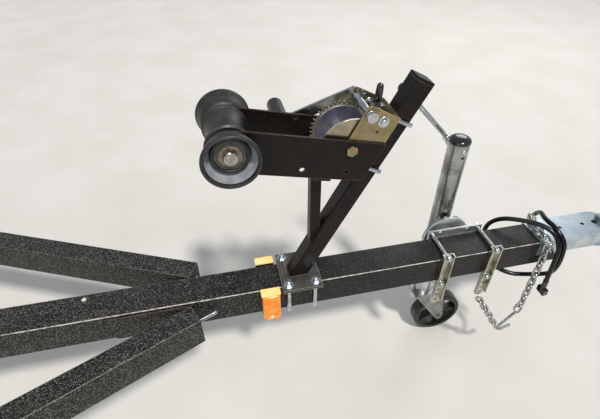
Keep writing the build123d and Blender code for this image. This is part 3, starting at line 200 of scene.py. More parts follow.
class Effects:
    """The shared effects, each a node group that is built once."""

    def __init__(self) -> None:
        """Build every group."""
        self.mottle = effect("soft_mottle", {"Scale": 25.0}, "Mask", self._mottle)
        self.speckle = effect("fine_speckle", {"Scale": 420.0, "Share": 0.2, "Fade": 0.0}, "Mask",
                              self._speckle)
        self.wear_and_highlight = effect("edge_wear_and_highlight", {"Width": 0.0015, "Amount": 0.5, "Level": 0.0}, "Mask", self._wear_and_highlight)
        self.dust = effect("settled_dust", {"Scale": 30.0, "Amount": 0.3}, "Mask", self._dust)
        self.rust = effect("rust_spots", {"Scale": 45.0, "Amount": 0.1}, "Mask", self._rust)
        self.grain = effect("surface_grain", {"Scale": 700.0, "Rough": 0.5}, "Height", self._grain)

    @staticmethod
    def _mottle(graph: Graph, source: Node) -> Socket:
        """Soft clouds between two tones."""
        return graph.ramp(graph.noise(source.outputs["Scale"], 5.0, 0.6), 0.32, 0.68)

    @staticmethod
    def _speckle(graph: Graph, source: Node) -> Socket:
        """Small pale dots, which thin out toward the tongue's front by the fade.

        Args:
            graph: Adds the nodes to the effect's group.
            source: The group's input node.

        Returns:
            Socket of the mask.
        """
        scale = source.outputs["Scale"]
        cells = graph.add("ShaderNodeTexVoronoi", {"Vector": graph.place(), "Scale": scale})
        near = graph.ramp(cells.outputs["Distance"], 0.42, 0.26)
        split = graph.add("ShaderNodeSeparateColor", {"Color": cells.outputs["Color"]})
        along = graph.add("ShaderNodeSeparateXYZ", {0: graph.place()}).outputs[0]
        front = graph.math("MULTIPLY", graph.ramp(along, FADE_REAR_X, FADE_FRONT_X), source.outputs["Fade"])
        kept = graph.math("MULTIPLY", source.outputs["Share"], graph.math("SUBTRACT", 1.0, front))
        chosen = graph.math("LESS_THAN", split.outputs[0], kept)
        return graph.math("MULTIPLY", near, chosen)

    @staticmethod
    def _wear_and_highlight(graph: Graph, source: Node) -> Socket:
        """Worn sharp edges, and by the highlight input a painted highlight along the rounded top edges of
        level tubes, broken up by noise.

        Args:
            graph: Adds the nodes to the effect's group.
            source: The group's input node.

        Returns:
            Socket of the mask.
        """
        rounded = graph.add("ShaderNodeBevel", {"Radius": source.outputs["Width"]}, samples=6)
        surface = graph.add("ShaderNodeNewGeometry")
        along = graph.add("ShaderNodeVectorMath", {0: rounded.outputs[0], 1: surface.outputs["True Normal"]},
                          operation="DOT_PRODUCT").outputs["Value"]
        sharp = graph.ramp(along, 0.995, 0.90)
        # Painted highlight: a pale line on the rounded top edges of level tubes, where the sun glints.
        up = graph.add("ShaderNodeSeparateXYZ", {0: surface.outputs["Normal"]}).outputs[2]
        level = graph.math("SQRT", graph.math("SUBTRACT", 1.0, graph.math("MULTIPLY", up, up)))
        painted_top_highlight = graph.math("MULTIPLY", graph.ramp(graph.math("MULTIPLY", up, level), 0.40, 0.49),
                              source.outputs["Level"])
        edge = graph.math("MAXIMUM", sharp, painted_top_highlight)
        broken = graph.ramp(graph.noise(90.0, 4.0), 0.35, 0.62)
        worn_and_highlit = graph.math("MULTIPLY", edge, graph.math("ADD", graph.math("MULTIPLY", broken, 0.6), 0.4))
        return graph.math("MULTIPLY", worn_and_highlit, source.outputs["Amount"], True)

    @staticmethod
    def _dust(graph: Graph, source: Node) -> Socket:
        """Soft patches on what faces up.

        Args:
            graph: Adds the nodes to the effect's group.
            source: The group's input node.

        Returns:
            Socket of the mask.
        """
        normal = graph.add("ShaderNodeNewGeometry").outputs["Normal"]
        up = graph.add("ShaderNodeSeparateXYZ", {0: normal}).outputs[2]
        patches = graph.ramp(graph.noise(source.outputs["Scale"], 6.0, 0.65), 0.30, 0.70)
        lying = graph.math("ADD", graph.math("MULTIPLY", graph.ramp(up, 0.05, 0.9), 0.85), 0.15)
        share = graph.math("MULTIPLY", patches, lying)
        return graph.math("MULTIPLY", share, source.outputs["Amount"], True)

    @staticmethod
    def _rust(graph: Graph, source: Node) -> Socket:
        """Blotches whose share of the surface follows the amount.

        Args:
            graph: Adds the nodes to the effect's group.
            source: The group's input node.

        Returns:
            Socket of the mask.
        """
        blotch = graph.noise(source.outputs["Scale"], 8.0, 0.7)
        limit = graph.math("SUBTRACT", 0.72, graph.math("MULTIPLY", source.outputs["Amount"], 0.4))
        return graph.math("MULTIPLY", graph.math("SUBTRACT", blotch, limit), 9.0, True)

    @staticmethod
    def _grain(graph: Graph, source: Node) -> Socket:
        """Height of a fine grain."""
        return graph.noise(source.outputs["Scale"], 2.0, source.outputs["Rough"])


class Kind(Enum):
    """How a finish takes light."""

    PAINT = "paint"
    METAL = "metal"
    RUBBER = "rubber"
    PLASTIC = "plastic"
    LENS = "lens"
    CLOTH = "cloth"


@dataclass(frozen=True)
class Finish:
    """One finish of the trailer, how worn it is, and how much highlight is painted on its top edges."""

    name: str
    kind: Kind
    colour: str
    shade: str
    rough: float
    tint: str = ""
    tint_scale: float = 18.0
    speckle: float = 0.0
    speckle_colour: str = "8c8a86"
    speckle_scale: float = 330.0
    speckle_fade: float = 0.0
    wear_and_highlight: float = 0.0
    wear_and_highlight_colour: str = "9a958c"
    top_edge_highlight: float = 0.0
    dust: float = 0.0
    dust_colour: str = "8f8378"
    dust_scale: float = 26.0
    rust: float = 0.0
    rust_colour: str = "6b3a20"
    rust_scale: float = 48.0
    grain_scale: float = 700.0
    grain_depth: float = 0.0001
    mottle_scale: float = 25.0
    coat: float = 0.0
    gloss: float = 0.5

    def _group(self, graph: Graph, tree: bpy.types.NodeTree, **values: float) -> Socket:
        """Place a shared effect with its values and return its output.

        Args:
            graph: The material's nodes.
            tree: The effect's group.
            values: Names of its inputs and their values.

        Returns:
            Socket of the group's output.
        """
        node = graph.add("ShaderNodeGroup", node_tree=tree)
        for key, value in values.items():
            node.inputs[key].default_value = value
        return node.outputs[0]

    def _masks(self, graph: Graph, effects: Effects) -> list[tuple[Socket, str, float]]:
        """Return each layer over the base as its mask, colour and roughness, the lowest first.

        Args:
            graph: The material's nodes.
            effects: The shared node groups.

        Returns:
            A mask, a colour code and a roughness for each layer.
        """
        masks = []
        if self.speckle:
            dots = self._group(graph, effects.speckle, Scale=self.speckle_scale, Share=self.speckle,
                               Fade=self.speckle_fade)
            masks.append((dots, self.speckle_colour, SPECKLE_ROUGH))
        # Edge layer: real wear on sharp edges, plus a painted highlight along the rounded top edges of level
        # tubes.
        if self.wear_and_highlight:
            edge = self._group(graph, effects.wear_and_highlight, Width=WEAR_WIDTH, Amount=self.wear_and_highlight,
                               Level=self.top_edge_highlight)
            masks.append((edge, self.wear_and_highlight_colour, WORN_AND_HIGHLIT_ROUGH))
        if self.rust:
            spots = self._group(graph, effects.rust, Scale=self.rust_scale, Amount=self.rust)
            masks.append((spots, self.rust_colour, COVERED_ROUGH))
        if self.dust:
            film = self._group(graph, effects.dust, Scale=self.dust_scale, Amount=self.dust)
            masks.append((film, self.dust_colour, COVERED_ROUGH))
        return masks

    def material(self, effects: Effects) -> bpy.types.Material:
        """Build the material.

        Args:
            effects: The shared node groups.

        Returns:
            The new material.
        """
        material = bpy.data.materials.new(self.name)
        material.use_nodes = True
        graph = Graph(material.node_tree)
        material.node_tree.nodes.clear()
        shader = graph.add("ShaderNodeBsdfPrincipled")
        graph.add("ShaderNodeOutputMaterial", {0: shader.outputs[0]})
        links = material.node_tree.links

        mottle = self._group(graph, effects.mottle, Scale=self.mottle_scale)
        colour = graph.mix(mottle, linear(self.colour), linear(self.shade))
        roughness = graph.math("ADD", graph.math("MULTIPLY", mottle, ROUGH_SPREAD),
                               self.rough - ROUGH_SPREAD / 2)
        if self.tint:
            patches = self._group(graph, effects.mottle, Scale=self.tint_scale)
            colour = graph.mix(patches, colour, linear(self.tint))
        masks = self._masks(graph, effects)
        for mask, code, rough in masks:
            colour = graph.mix(mask, colour, linear(code))
            lift = graph.math("MULTIPLY", graph.math("SUBTRACT", rough, roughness), mask)
            roughness = graph.math("ADD", roughness, lift)
        links.new(colour, shader.inputs["Base Color"])
        links.new(roughness, shader.inputs["Roughness"])
        shader.inputs["Specular IOR Level"].default_value = self.gloss
        if self.kind is Kind.METAL:
            self._bare_metal(graph, shader, [mask for mask, code, _ in masks
                                             if code in (self.rust_colour, self.dust_colour)])
        if self.kind is Kind.LENS:
            shader.inputs["Subsurface Weight"].default_value = 0.10
            shader.inputs["Subsurface Radius"].default_value = (0.008, 0.004, 0.002)
            shader.inputs["IOR"].default_value = 1.49
        if self.kind is Kind.CLOTH:
            shader.inputs["Sheen Weight"].default_value = 0.35
            shader.inputs["Sheen Roughness"].default_value = 0.6
        if self.coat:
            shader.inputs["Coat Weight"].default_value = self.coat
            shader.inputs["Coat Roughness"].default_value = 0.12
        height = self._group(graph, effects.grain, Scale=self.grain_scale, Rough=0.6)
        bump = graph.add("ShaderNodeBump", {"Strength": 0.6, "Distance": self.grain_depth, "Height": height})
        links.new(bump.outputs[0], shader.inputs["Normal"])
        return material

    @staticmethod
    def _bare_metal(graph: Graph, shader: Node, covers: Sequence[Socket]) -> None:
        """Make the surface metal wherever neither rust nor dust covers it.

        Args:
            graph: The material's nodes.
            shader: The shader whose Metallic is set.
            covers: Masks of what covers the metal.
        """
        if not covers:
            shader.inputs["Metallic"].default_value = 1.0
            return
        bare: object = 1.0
        for cover in covers:
            bare = graph.math("MULTIPLY", bare, graph.math("SUBTRACT", 1.0, cover))
        graph.tree.links.new(bare, shader.inputs["Metallic"])


FINISHES: tuple[Finish, ...] = (
    # On the tongue and rails, the pale edge colour along the rounded top edges is a painted highlight, laid
    # over real edge wear.
    Finish("speckled_black_paint", Kind.PAINT, "0d0c0c", "151413", 0.40, speckle=0.50,
           speckle_colour="979590", speckle_scale=480.0, speckle_fade=0.93, wear_and_highlight=1.0, wear_and_highlight_colour="c4c0b9",
           top_edge_highlight=1.0, dust=0.05, grain_scale=480.0, grain_depth=0.0003, gloss=0.3),
    Finish("rail_paint", Kind.PAINT, "0d0c0c", "151413", 0.40, speckle=0.50, speckle_colour="979590",
           speckle_scale=480.0, wear_and_highlight=0.45, wear_and_highlight_colour="a09c95", top_edge_highlight=0.5, dust=0.05,
           grain_scale=480.0, grain_depth=0.0003, gloss=0.3),
    Finish("satin_black_paint", Kind.PAINT, "0f0b0a", "16110f", 0.40, speckle=0.04, speckle_colour="3f3935",
           wear_and_highlight=0.50, wear_and_highlight_colour="7d7265", dust=0.02, grain_scale=520.0, grain_depth=0.0002, gloss=0.2),
    Finish("clamp_paint", Kind.PAINT, "2f2e2c", "42413e", 0.32, wear_and_highlight=1.0, wear_and_highlight_colour="b5b2ab", dust=0.12,
           grain_scale=420.0, grain_depth=0.0002),
    Finish("fender_paint", Kind.PAINT, "0f0f10", "151516", 0.20, wear_and_highlight=0.3, dust=0.05, coat=0.5),
    Finish("bright_zinc", Kind.METAL, "ccd0d2", "a9aeb2", 0.26, wear_and_highlight=0.4, wear_and_highlight_colour="eceeef", dust=0.05,
           grain_scale=260.0, grain_depth=0.00006, mottle_scale=60.0),
    Finish("mount_zinc", Kind.METAL, "dcdfe0", "b9bdbf", 0.38, wear_and_highlight=0.8, wear_and_highlight_colour="f4f5f5", dust=0.55,
           dust_colour="c9cac6", grain_scale=260.0, grain_depth=0.00006, mottle_scale=60.0),
    Finish("blue_zinc", Kind.METAL, "cdd7dc", "a9b9c2", 0.33, wear_and_highlight=0.6, wear_and_highlight_colour="f2f5f6", dust=0.06,
           dust_colour="b9b4a8", grain_scale=300.0, grain_depth=0.00005, mottle_scale=22.0),
    Finish("tube_zinc", Kind.METAL, "bdbfbe", "777975", 0.26, tint="939590", tint_scale=12.0, wear_and_highlight=0.5,
           wear_and_highlight_colour="eef0f0", dust=0.04, grain_scale=240.0, grain_depth=0.00006, mottle_scale=30.0),
    Finish("chain_zinc", Kind.METAL, "c6c7c4", "92938e", 0.28, rust=0.04, wear_and_highlight=0.3, wear_and_highlight_colour="e6e7e6",
           grain_scale=300.0, mottle_scale=90.0),
    Finish("dull_zinc", Kind.METAL, "a3a4a2", "7b7c77", 0.38, rust=0.10, dust=0.10, grain_scale=300.0,
           mottle_scale=90.0),
    Finish("yellow_zinc", Kind.METAL, "b0996a", "85764f", 0.33, tint="9a8f74", tint_scale=26.0, rust=0.10,
           wear_and_highlight=0.5, wear_and_highlight_colour="dcd8c6", dust=0.12, dust_colour="9c8660", grain_scale=260.0,
           grain_depth=0.00006, mottle_scale=44.0),
    Finish("olive_zinc", Kind.METAL, "a9a797", "75745f", 0.28, tint="c4c2b6", tint_scale=30.0, wear_and_highlight=0.6,
           wear_and_highlight_colour="e8e6dc", dust=0.04, grain_scale=260.0, grain_depth=0.00006, mottle_scale=50.0),
    Finish("gear_zinc", Kind.METAL, "c9c6bc", "b3ad9d", 0.34, wear_and_highlight=1.0, wear_and_highlight_colour="f6f4ea", dust=0.10,
           dust_colour="b5ae98", mottle_scale=60.0, grain_depth=0.00004),
    Finish("violet_zinc", Kind.METAL, "cfccd2", "8c8aa6", 0.44, tint="6c6c94", tint_scale=14.0, dust=0.40,
           dust_colour="8d8a97", mottle_scale=16.0, grain_depth=0.00004),
    Finish("gold_zinc", Kind.METAL, "a5976a", "8f8a80", 0.30, tint="b8ad92", tint_scale=30.0, wear_and_highlight=0.9,
           wear_and_highlight_colour="dddcd6", mottle_scale=24.0, grain_depth=0.00004),
    Finish("rusty_steel", Kind.METAL, "a09284", "80705f", 0.42, rust=0.30, rust_colour="80634c", wear_and_highlight=0.8,
           wear_and_highlight_colour="c9c0b4", mottle_scale=120.0),
    Finish("wheel_paint", Kind.PAINT, "c9cac8", "b9bab7", 0.30, wear_and_highlight=0.2, dust=0.12, coat=0.3),
    Finish("tyre_rubber", Kind.RUBBER, "151515", "1d1c1b", 0.68, dust=0.20, grain_scale=420.0,
           grain_depth=0.0003),
    Finish("roller_rubber", Kind.RUBBER, "111214", "1b1b1d", 0.40, speckle=0.06, speckle_colour="57534e",
           wear_and_highlight=0.6, wear_and_highlight_colour="55565a", dust=0.30, dust_colour="5b554c", dust_scale=22.0,
           grain_scale=260.0, grain_depth=0.0003, mottle_scale=24.0),
    Finish("bleached_rubber", Kind.RUBBER, "a3a7ae", "83878e", 0.55, dust=0.15, dust_colour="7d7f82",
           dust_scale=60.0, grain_scale=300.0, grain_depth=0.0002, mottle_scale=40.0),
    Finish("black_plastic", Kind.PLASTIC, "0f0f0f", "161617", 0.34, dust=0.06, grain_scale=900.0),
    Finish("glossy_plastic", Kind.PLASTIC, "0b0c0e", "111216", 0.13, dust=0.02, grain_scale=500.0,
           grain_depth=0.00003, coat=0.6),
    Finish("white_plastic", Kind.PLASTIC, "d8d8d4", "c6c6c0", 0.35, dust=0.10, grain_scale=500.0),
    # Near-black for thin discs that paint the shade inside holes and slots.
    Finish("painted_hole_shade", Kind.PLASTIC, "050505", "0a0a09", 0.90, grain_scale=600.0),
    Finish("cord_jacket", Kind.RUBBER, "070708", "0c0c0d", 0.25, dust=0.02, grain_scale=600.0, coat=0.15,
           gloss=0.25),
    Finish("amber_lens", Kind.LENS, "f08a0a", "e87604", 0.14, tint="f8a01a", tint_scale=60.0,
           grain_scale=420.0, grain_depth=0.0003, coat=0.5),
    Finish("amber_painted_highlight", Kind.LENS, "ffe7a6", "ffd678", 0.25, grain_scale=420.0, grain_depth=0.0002,
           coat=0.3),
    Finish("red_lens", Kind.LENS, "a51010", "8a0c0c", 0.16, grain_scale=420.0, grain_depth=0.0004,
           coat=0.4),
    Finish("bunk_carpet", Kind.CLOTH, "34383e", "2a2d32", 0.95, speckle=0.3, speckle_colour="565b62",
           speckle_scale=520.0, dust=0.06, grain_scale=900.0, grain_depth=0.0018),
)

NODE_FINISH: dict[str, str] = {
    "speckled_black_paint": "tongue_tube",
    "rail_paint": "rail_left rail_right rail_joint_plates cross_member_front cross_member_middle "
                  "cross_member_rear",
    "satin_black_paint": "winch_post winch_post_cap post_strut winch_bracket bunk_brackets rear_brackets "
                         "axle_beam leaf_springs spring_hangers rail_end_bolts",
    "clamp_paint": "post_clamp_plate",
    "fender_paint": "fender_left fender_right fender_brackets",
    "bright_zinc": "coupler_bolts jack_leg jack_crank jack_rods post_u_bolts axle_clamps winch_crank",
    "mount_zinc": "jack_mount",
    "blue_zinc": "coupler_body coupler_latch",
    "tube_zinc": "jack_tube",
    "chain_zinc": "chain_hook safety_chains",
    "dull_zinc": "bow_roller_pin jack_fork hub_left hub_right winch_pawl",
    "yellow_zinc": "winch_frame",
    "olive_zinc": "jack_straps",
    "gear_zinc": "winch_drum",
    "wheel_paint": "rim_left rim_right",
    "tyre_rubber": "tyre_left tyre_right",
    "roller_rubber": "bow_roller_spool bow_roller_bells",
    "black_plastic": "jack_wheel winch_grip jack_crank_grip rear_lamp_housings",
    "glossy_plastic": "harness_plug jack_cap",
    "cord_jacket": "harness_cord",
    "amber_lens": "marker_lamps",
    "red_lens": "rear_lamp_lenses",
    "bunk_carpet": "bunk_left bunk_right",
}


class Shop:
    """Makes pieces: it holds the materials and turns vertices and faces into riding objects."""

    def __init__(self) -> None:
        """Build the effects and every finish's material."""
        effects = Effects()
        self.materials = {finish.name: finish.material(effects) for finish in FINISHES}

    def dress_nodes(self) -> None:
        """Give every carried-over CAD node its finish."""
        for finish, names in NODE_FINISH.items():
            for name in names.split():
                thing = bpy.data.objects[name]
                if not thing.material_slots:
                    thing.data.materials.append(self.materials[finish])
                for slot in thing.material_slots:
                    slot.material = self.materials[finish]

    def piece(self, name: str, shape: Shape, finish: str, body: str, smooth_angle: float = 35.0,
              stands_for: str = "") -> bpy.types.Object:
        """Make a mesh object that rides on a body.

        Args:
            name: The piece's name.
            shape: Vertices in metres in the trailer's frame, and the faces on them.
            finish: Name of its finish.
            body: The CAD body that carries it.
            smooth_angle: Edges flatter than this many degrees are shaded smooth.
            stands_for: The CAD node that the piece replaces, if any.

        Returns:
            The new object.
        """
        mesh = bpy.data.meshes.new(name)
        mesh.from_pydata([tuple(v) for v in shape[0]], [], [tuple(f) for f in shape[1]])
        outward = bmesh.new()
        outward.from_mesh(mesh)
        bmesh.ops.recalc_face_normals(outward, faces=outward.faces)
        outward.to_mesh(mesh)
        outward.free()
        mesh.materials.append(self.materials[finish])
        mesh.shade_smooth()
        mesh.set_sharp_from_angle(angle=radians(smooth_angle))
        thing = bpy.data.objects.new(name, mesh)
        bpy.context.scene.collection.objects.link(thing)
        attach(thing, body)
        if stands_for:
            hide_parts(stands_for)
        log.info("%s: %d faces on %s", name, len(mesh.polygons), body)
        return thing


def ring_faces(rings: int, around: int, closed: bool) -> list[tuple[int, ...]]:
    """Return the faces of a grid of rings.

    Args:
        rings: How many rings there are.
        around: Vertices on each ring.
        closed: Whether the last ring joins the first; otherwise both ends are capped.

    Returns:
        Faces as vertex numbers.
    """
    faces: list[tuple[int, ...]] = []
    for i in range(rings if closed else rings - 1):
        for j in range(around):
            a, b = i * around, (i + 1) % rings * around
            k = (j + 1) % around
            faces.append((a + j, a + k, b + k, b + j))
    if not closed:
        faces += [tuple(reversed(range(around))), tuple(range((rings - 1) * around, rings * around))]
    return faces


def aim(centre: Point, axis: Point) -> Matrix:
    """Return the place whose Z axis points along an axis from a centre.

    Args:
        centre: Where the place is.
        axis: Direction of its Z axis.

    Returns:
        The place as a matrix.
    """
    along = Vector(axis).normalized()
    side = along.orthogonal().normalized()
    turned = Matrix((side, along.cross(side), along)).transposed().to_4x4()
    return Matrix.Translation(centre) @ turned


def turned(profile: Outline, centre: Point, axis: Point = PORT, closed: bool = True,
           around: int = 72) -> Shape:
    """Turn an outline of (radius, distance along the axis) about an axis.

    Args:
        profile: The outline in metres.
        centre: Where the axis starts.
        axis: Its direction.
        closed: Whether the outline closes on itself; otherwise its ends are capped.
        around: Steps round the axis.

    Returns:
        Vertices and faces.
    """
    place = aim(centre, axis)
    vertices = []
    for radius, along in profile:
        for j in range(around):
            turn = 2 * pi * j / around
            vertices.append(tuple(place @ Vector((radius * cos(turn), radius * sin(turn), along))))
    return vertices, ring_faces(len(profile), around, closed)


def bar(path: Sequence[Vector], radius: Union[float, Sequence[float]], closed: bool,
        around: int = 12) -> Shape:
    """Sweep a round section along points.

    Args:
        path: Points of the middle line.
        radius: The section's radius, or one for each point.
        closed: Whether the line is a loop.
        around: Vertices round the section.

    Returns:
        Vertices and faces.
    """
    vertices: list[Point] = []
    count = len(path)
    radii = [radius] * count if isinstance(radius, float) else radius
    side = None
    for i, point in enumerate(path):
        before = path[i - 1] if closed or i else path[0]
        after = path[(i + 1) % count] if closed or i < count - 1 else path[-1]
        along = (after - before).normalized()
        if side is None:
            side = along.orthogonal().normalized()
        side = (side - along * side.dot(along)).normalized()
        up = along.cross(side)
        for j in range(around):
            turn = 2 * pi * j / around
            vertices.append(tuple(point + side * radii[i] * cos(turn) + up * radii[i] * sin(turn)))
    return vertices, ring_faces(count, around, closed)


def joined(shapes: Sequence[Shape]) -> Shape:
    """Put several vertex and face lists together as one.

    Args:
        shapes: Vertices and faces of each.

    Returns:
        Vertices and faces.
    """
    vertices: list[Point] = []
    faces: list[tuple[int, ...]] = []
    for points, polygons in shapes:
        base = len(vertices)
        vertices += points
        faces += [tuple(base + n for n in polygon) for polygon in polygons]
    return vertices, faces


def nut(centre: Point, axis: Point, across: float, height: float, around: int = 48) -> Shape:
    """Make a hexagon nut or head whose corners are chamfered by a cone.

    Args:
        centre: Middle of its seat.
        axis: Direction away from the seat.
        across: Width across the flats.
        height: Height above the seat.
        around: Vertices on each ring.

    Returns:
        Vertices and faces.
    """
    place = aim(centre, axis)
    rows = ((0.0, 1.0), (0.06, 1.16), (0.80, 1.16), (0.90, 1.07), (1.0, 0.96))
    vertices = []
    for share, limit in rows:
        for j in range(around):
            turn = 2 * pi * j / around
            flat = 1 / cos(turn % (pi / 3) - pi / 6)
            radius = across / 2 * min(limit, flat)
            vertices.append(tuple(place @ Vector((radius * cos(turn), radius * sin(turn), share * height))))
    return vertices, ring_faces(len(rows), around, False)


def washer(centre: Point, axis: Point, bore: float, radius: float, thick: float) -> Shape:
    """Make a flat washer with softened outer edges, seated at its centre.

    Args:
        centre: Middle of its seat.
        axis: Direction away from the seat.
        bore: Radius of its hole.
        radius: Its outer radius.
        thick: Its thickness.

    Returns:
        Vertices and faces.
    """
    soft = 0.25 * thick
    profile = ((bore, 0.0), (radius - soft, 0.0), (radius, soft), (radius, thick - soft),
               (radius - soft, thick), (bore, thick))
    return turned(profile, centre, axis, True, 48)


def thread(start: Point, axis: Point, radius: float, length: float, pitch: float = 0.00125) -> Shape:
    """Make a bolt's threaded end with a chamfered tip.

    Args:
        start: Where the thread begins on the axis.
        axis: Direction of the tip.
        radius: The thread's outer radius.
        length: Its length without the chamfer.
        pitch: Distance from crest to crest.

    Returns:
        Vertices and faces.
    """
    depth = 0.45 * pitch
    profile = [(radius - depth, 0.0)]
    for i in range(int(length / pitch)):
        profile += [(radius, (i + 0.5) * pitch), (radius - depth, (i + 1) * pitch)]
    profile += [(radius - depth, length), (radius - 2.5 * depth, length + 0.0006)]
    return turned(profile, start, axis, False, 24)


@dataclass(frozen=True)
class BoltEnd:
    """What shows at a bolt's end: the washer on its seat and the thread above its nut."""

    radius: float
    washer_radius: float
    washer_thick: float
    nut_rise: float
    thread_length: float

    def shapes(self, seat: Point, axis: Point) -> list[Shape]:
        """Return the washer and the thread of a bolt that ends over a seat.

        Args:
            seat: Where the bolt's middle line leaves the surface under the washer.
            axis: Unit direction away from the seat.

        Returns:
            The two shapes.
        """
        above = tuple(s + self.nut_rise * a for s, a in zip(seat, axis))
        return [washer(seat, axis, self.radius, self.washer_radius, self.washer_thick),
                thread(above, axis, self.radius + THREAD_PLAY, self.thread_length)]


@dataclass
class Fastenings:
    """Washers, threads and small heads on the frame, and near-black discs that paint the shade inside the
    coupler's top holes.
    """

    clamp_end: BoltEnd = BoltEnd(0.00475, 0.0118, 0.0022, 0.0070, 0.0052)
    u_bolt_xs: Sequence[float] = (-0.831, -0.769)
    u_bolt_y: float = 0.04315
    rail_front_x: float = -1.050
    rail_half_width: float = 0.0254
    joint_plate: float = 0.003
    rail_bolt_z: float = -0.0048
    rail_bolt_radius: float = 0.0055
    rail_bolt_start: float = 0.0021
    rail_bolt_length: float = 0.0434
    strap_end: BoltEnd = BoltEnd(0.00475, 0.0100, 0.0018, 0.0069, 0.0042)
    strap_y: float = -0.0411
    rod_xs: Sequence[float] = (-0.443, -0.317)
    rod_zs: Sequence[float] = (0.038, -0.054)
    coupler_end: BoltEnd = BoltEnd(0.005, 0.0115, 0.0018, 0.0077, 0.0044)
    coupler_bolt_xs: Sequence[float] = (-0.155, -0.115)
    coupler_bolt_z: float = 0.005
    coupler_side_y: float = 0.0411
    coupler_top_z: float = 0.033
    coupler_holes: Sequence[tuple[float, float, float]] = (
        (-0.1054, 0.0, 0.0046), (-0.0394, 0.0, 0.0050), (-0.0030, 0.0, 0.0078))
    plate_head_xs: Sequence[float] = (-0.3495, -0.4240)
    plate_head_z: float = 0.0415
    plug_place: Point = (-1.2763, 0.0221, TONGUE_TOP_Z)

    def build(self, shop: Shop) -> None:
        """Make every group of pieces.

        Args:
            shop: Makes the pieces.
        """
        clamp, straps, coupler = [], [], []
        for x in self.u_bolt_xs:
            for y in (-self.u_bolt_y, self.u_bolt_y):
                clamp += self.clamp_end.shapes((x, y, CLAMP_TOP_Z), UP)
        for x in self.rod_xs:
            for z in self.rod_zs:
                straps += self.strap_end.shapes((x, self.strap_y, z), STARBOARD)
        for x in self.coupler_bolt_xs:
            for side in (-1, 1):
                seat = (x, side * self.coupler_side_y, self.coupler_bolt_z)
                coupler += self.coupler_end.shapes(seat, (0, side, 0))
        self._zinc(shop, "clamp_washers", clamp)
        self._rail_ends(shop)
        self._zinc(shop, "strap_washers", straps)
        self._zinc(shop, "coupler_washers", coupler)
        # Painted shade: a near-black disc in each coupler hole stands for the shade inside it.
        hole_shade_discs = []
        for x, y, radius in self.coupler_holes:
            disc = [(radius, 0.0), (radius - 0.0003, 0.0002)]
            hole_shade_discs.append(turned(disc, (x, y, self.coupler_top_z), UP, False, 32))
        shop.piece("coupler_hole_shade_discs", joined(hole_shade_discs), "painted_hole_shade", "frame")
        self._small_heads(shop)

    @staticmethod
    def _zinc(shop: Shop, name: str, shapes: Sequence[Shape]) -> None:
        """Make one bright zinc piece of several shapes on the frame."""
        shop.piece(name, joined(shapes), "bright_zinc", "frame")

    def _rail_ends(self, shop: Shop) -> None:
        """Thread on the bolt that sticks out of each rail's front end.

        Args:
            shop: Makes the pieces.
        """
        x = self.rail_front_x + self.rail_half_width * RAIL_BEND_SINE
        y = TONGUE_HALF + self.joint_plate + self.rail_half_width * RAIL_BEND_COSINE
        shapes = []
        for side in (-1, 1):
            ahead = Vector((RAIL_BEND_COSINE, -side * RAIL_BEND_SINE, 0))
            start = Vector((x, side * y, self.rail_bolt_z)) + ahead * self.rail_bolt_start
            shapes.append(thread(tuple(start), tuple(ahead), self.rail_bolt_radius, self.rail_bolt_length))
        self._zinc(shop, "rail_bolt_threads", shapes)

    def _small_heads(self, shop: Shop) -> None:
        """Two heads on the jack's plate above the tongue, and a white plug in the tongue's top.

        Args:
            shop: Makes the pieces.
        """
        round_head = [(0.0055, 0.0), (0.0055, 0.0012), (0.0048, 0.0026), (0.0030, 0.0034), (0.0004, 0.0037)]
        heads = [turned(round_head, (x, TONGUE_HALF, self.plate_head_z), STARBOARD, False, 32)
                 for x in self.plate_head_xs]
        self._zinc(shop, "jack_plate_heads", heads)
        plug = [(0.0050, 0.0), (0.0050, 0.0006), (0.0040, 0.0013), (0.0020, 0.0017), (0.0004, 0.0018)]
        shop.piece("tongue_plug", turned(plug, self.plug_place, UP, False, 32), "white_plastic", "frame")


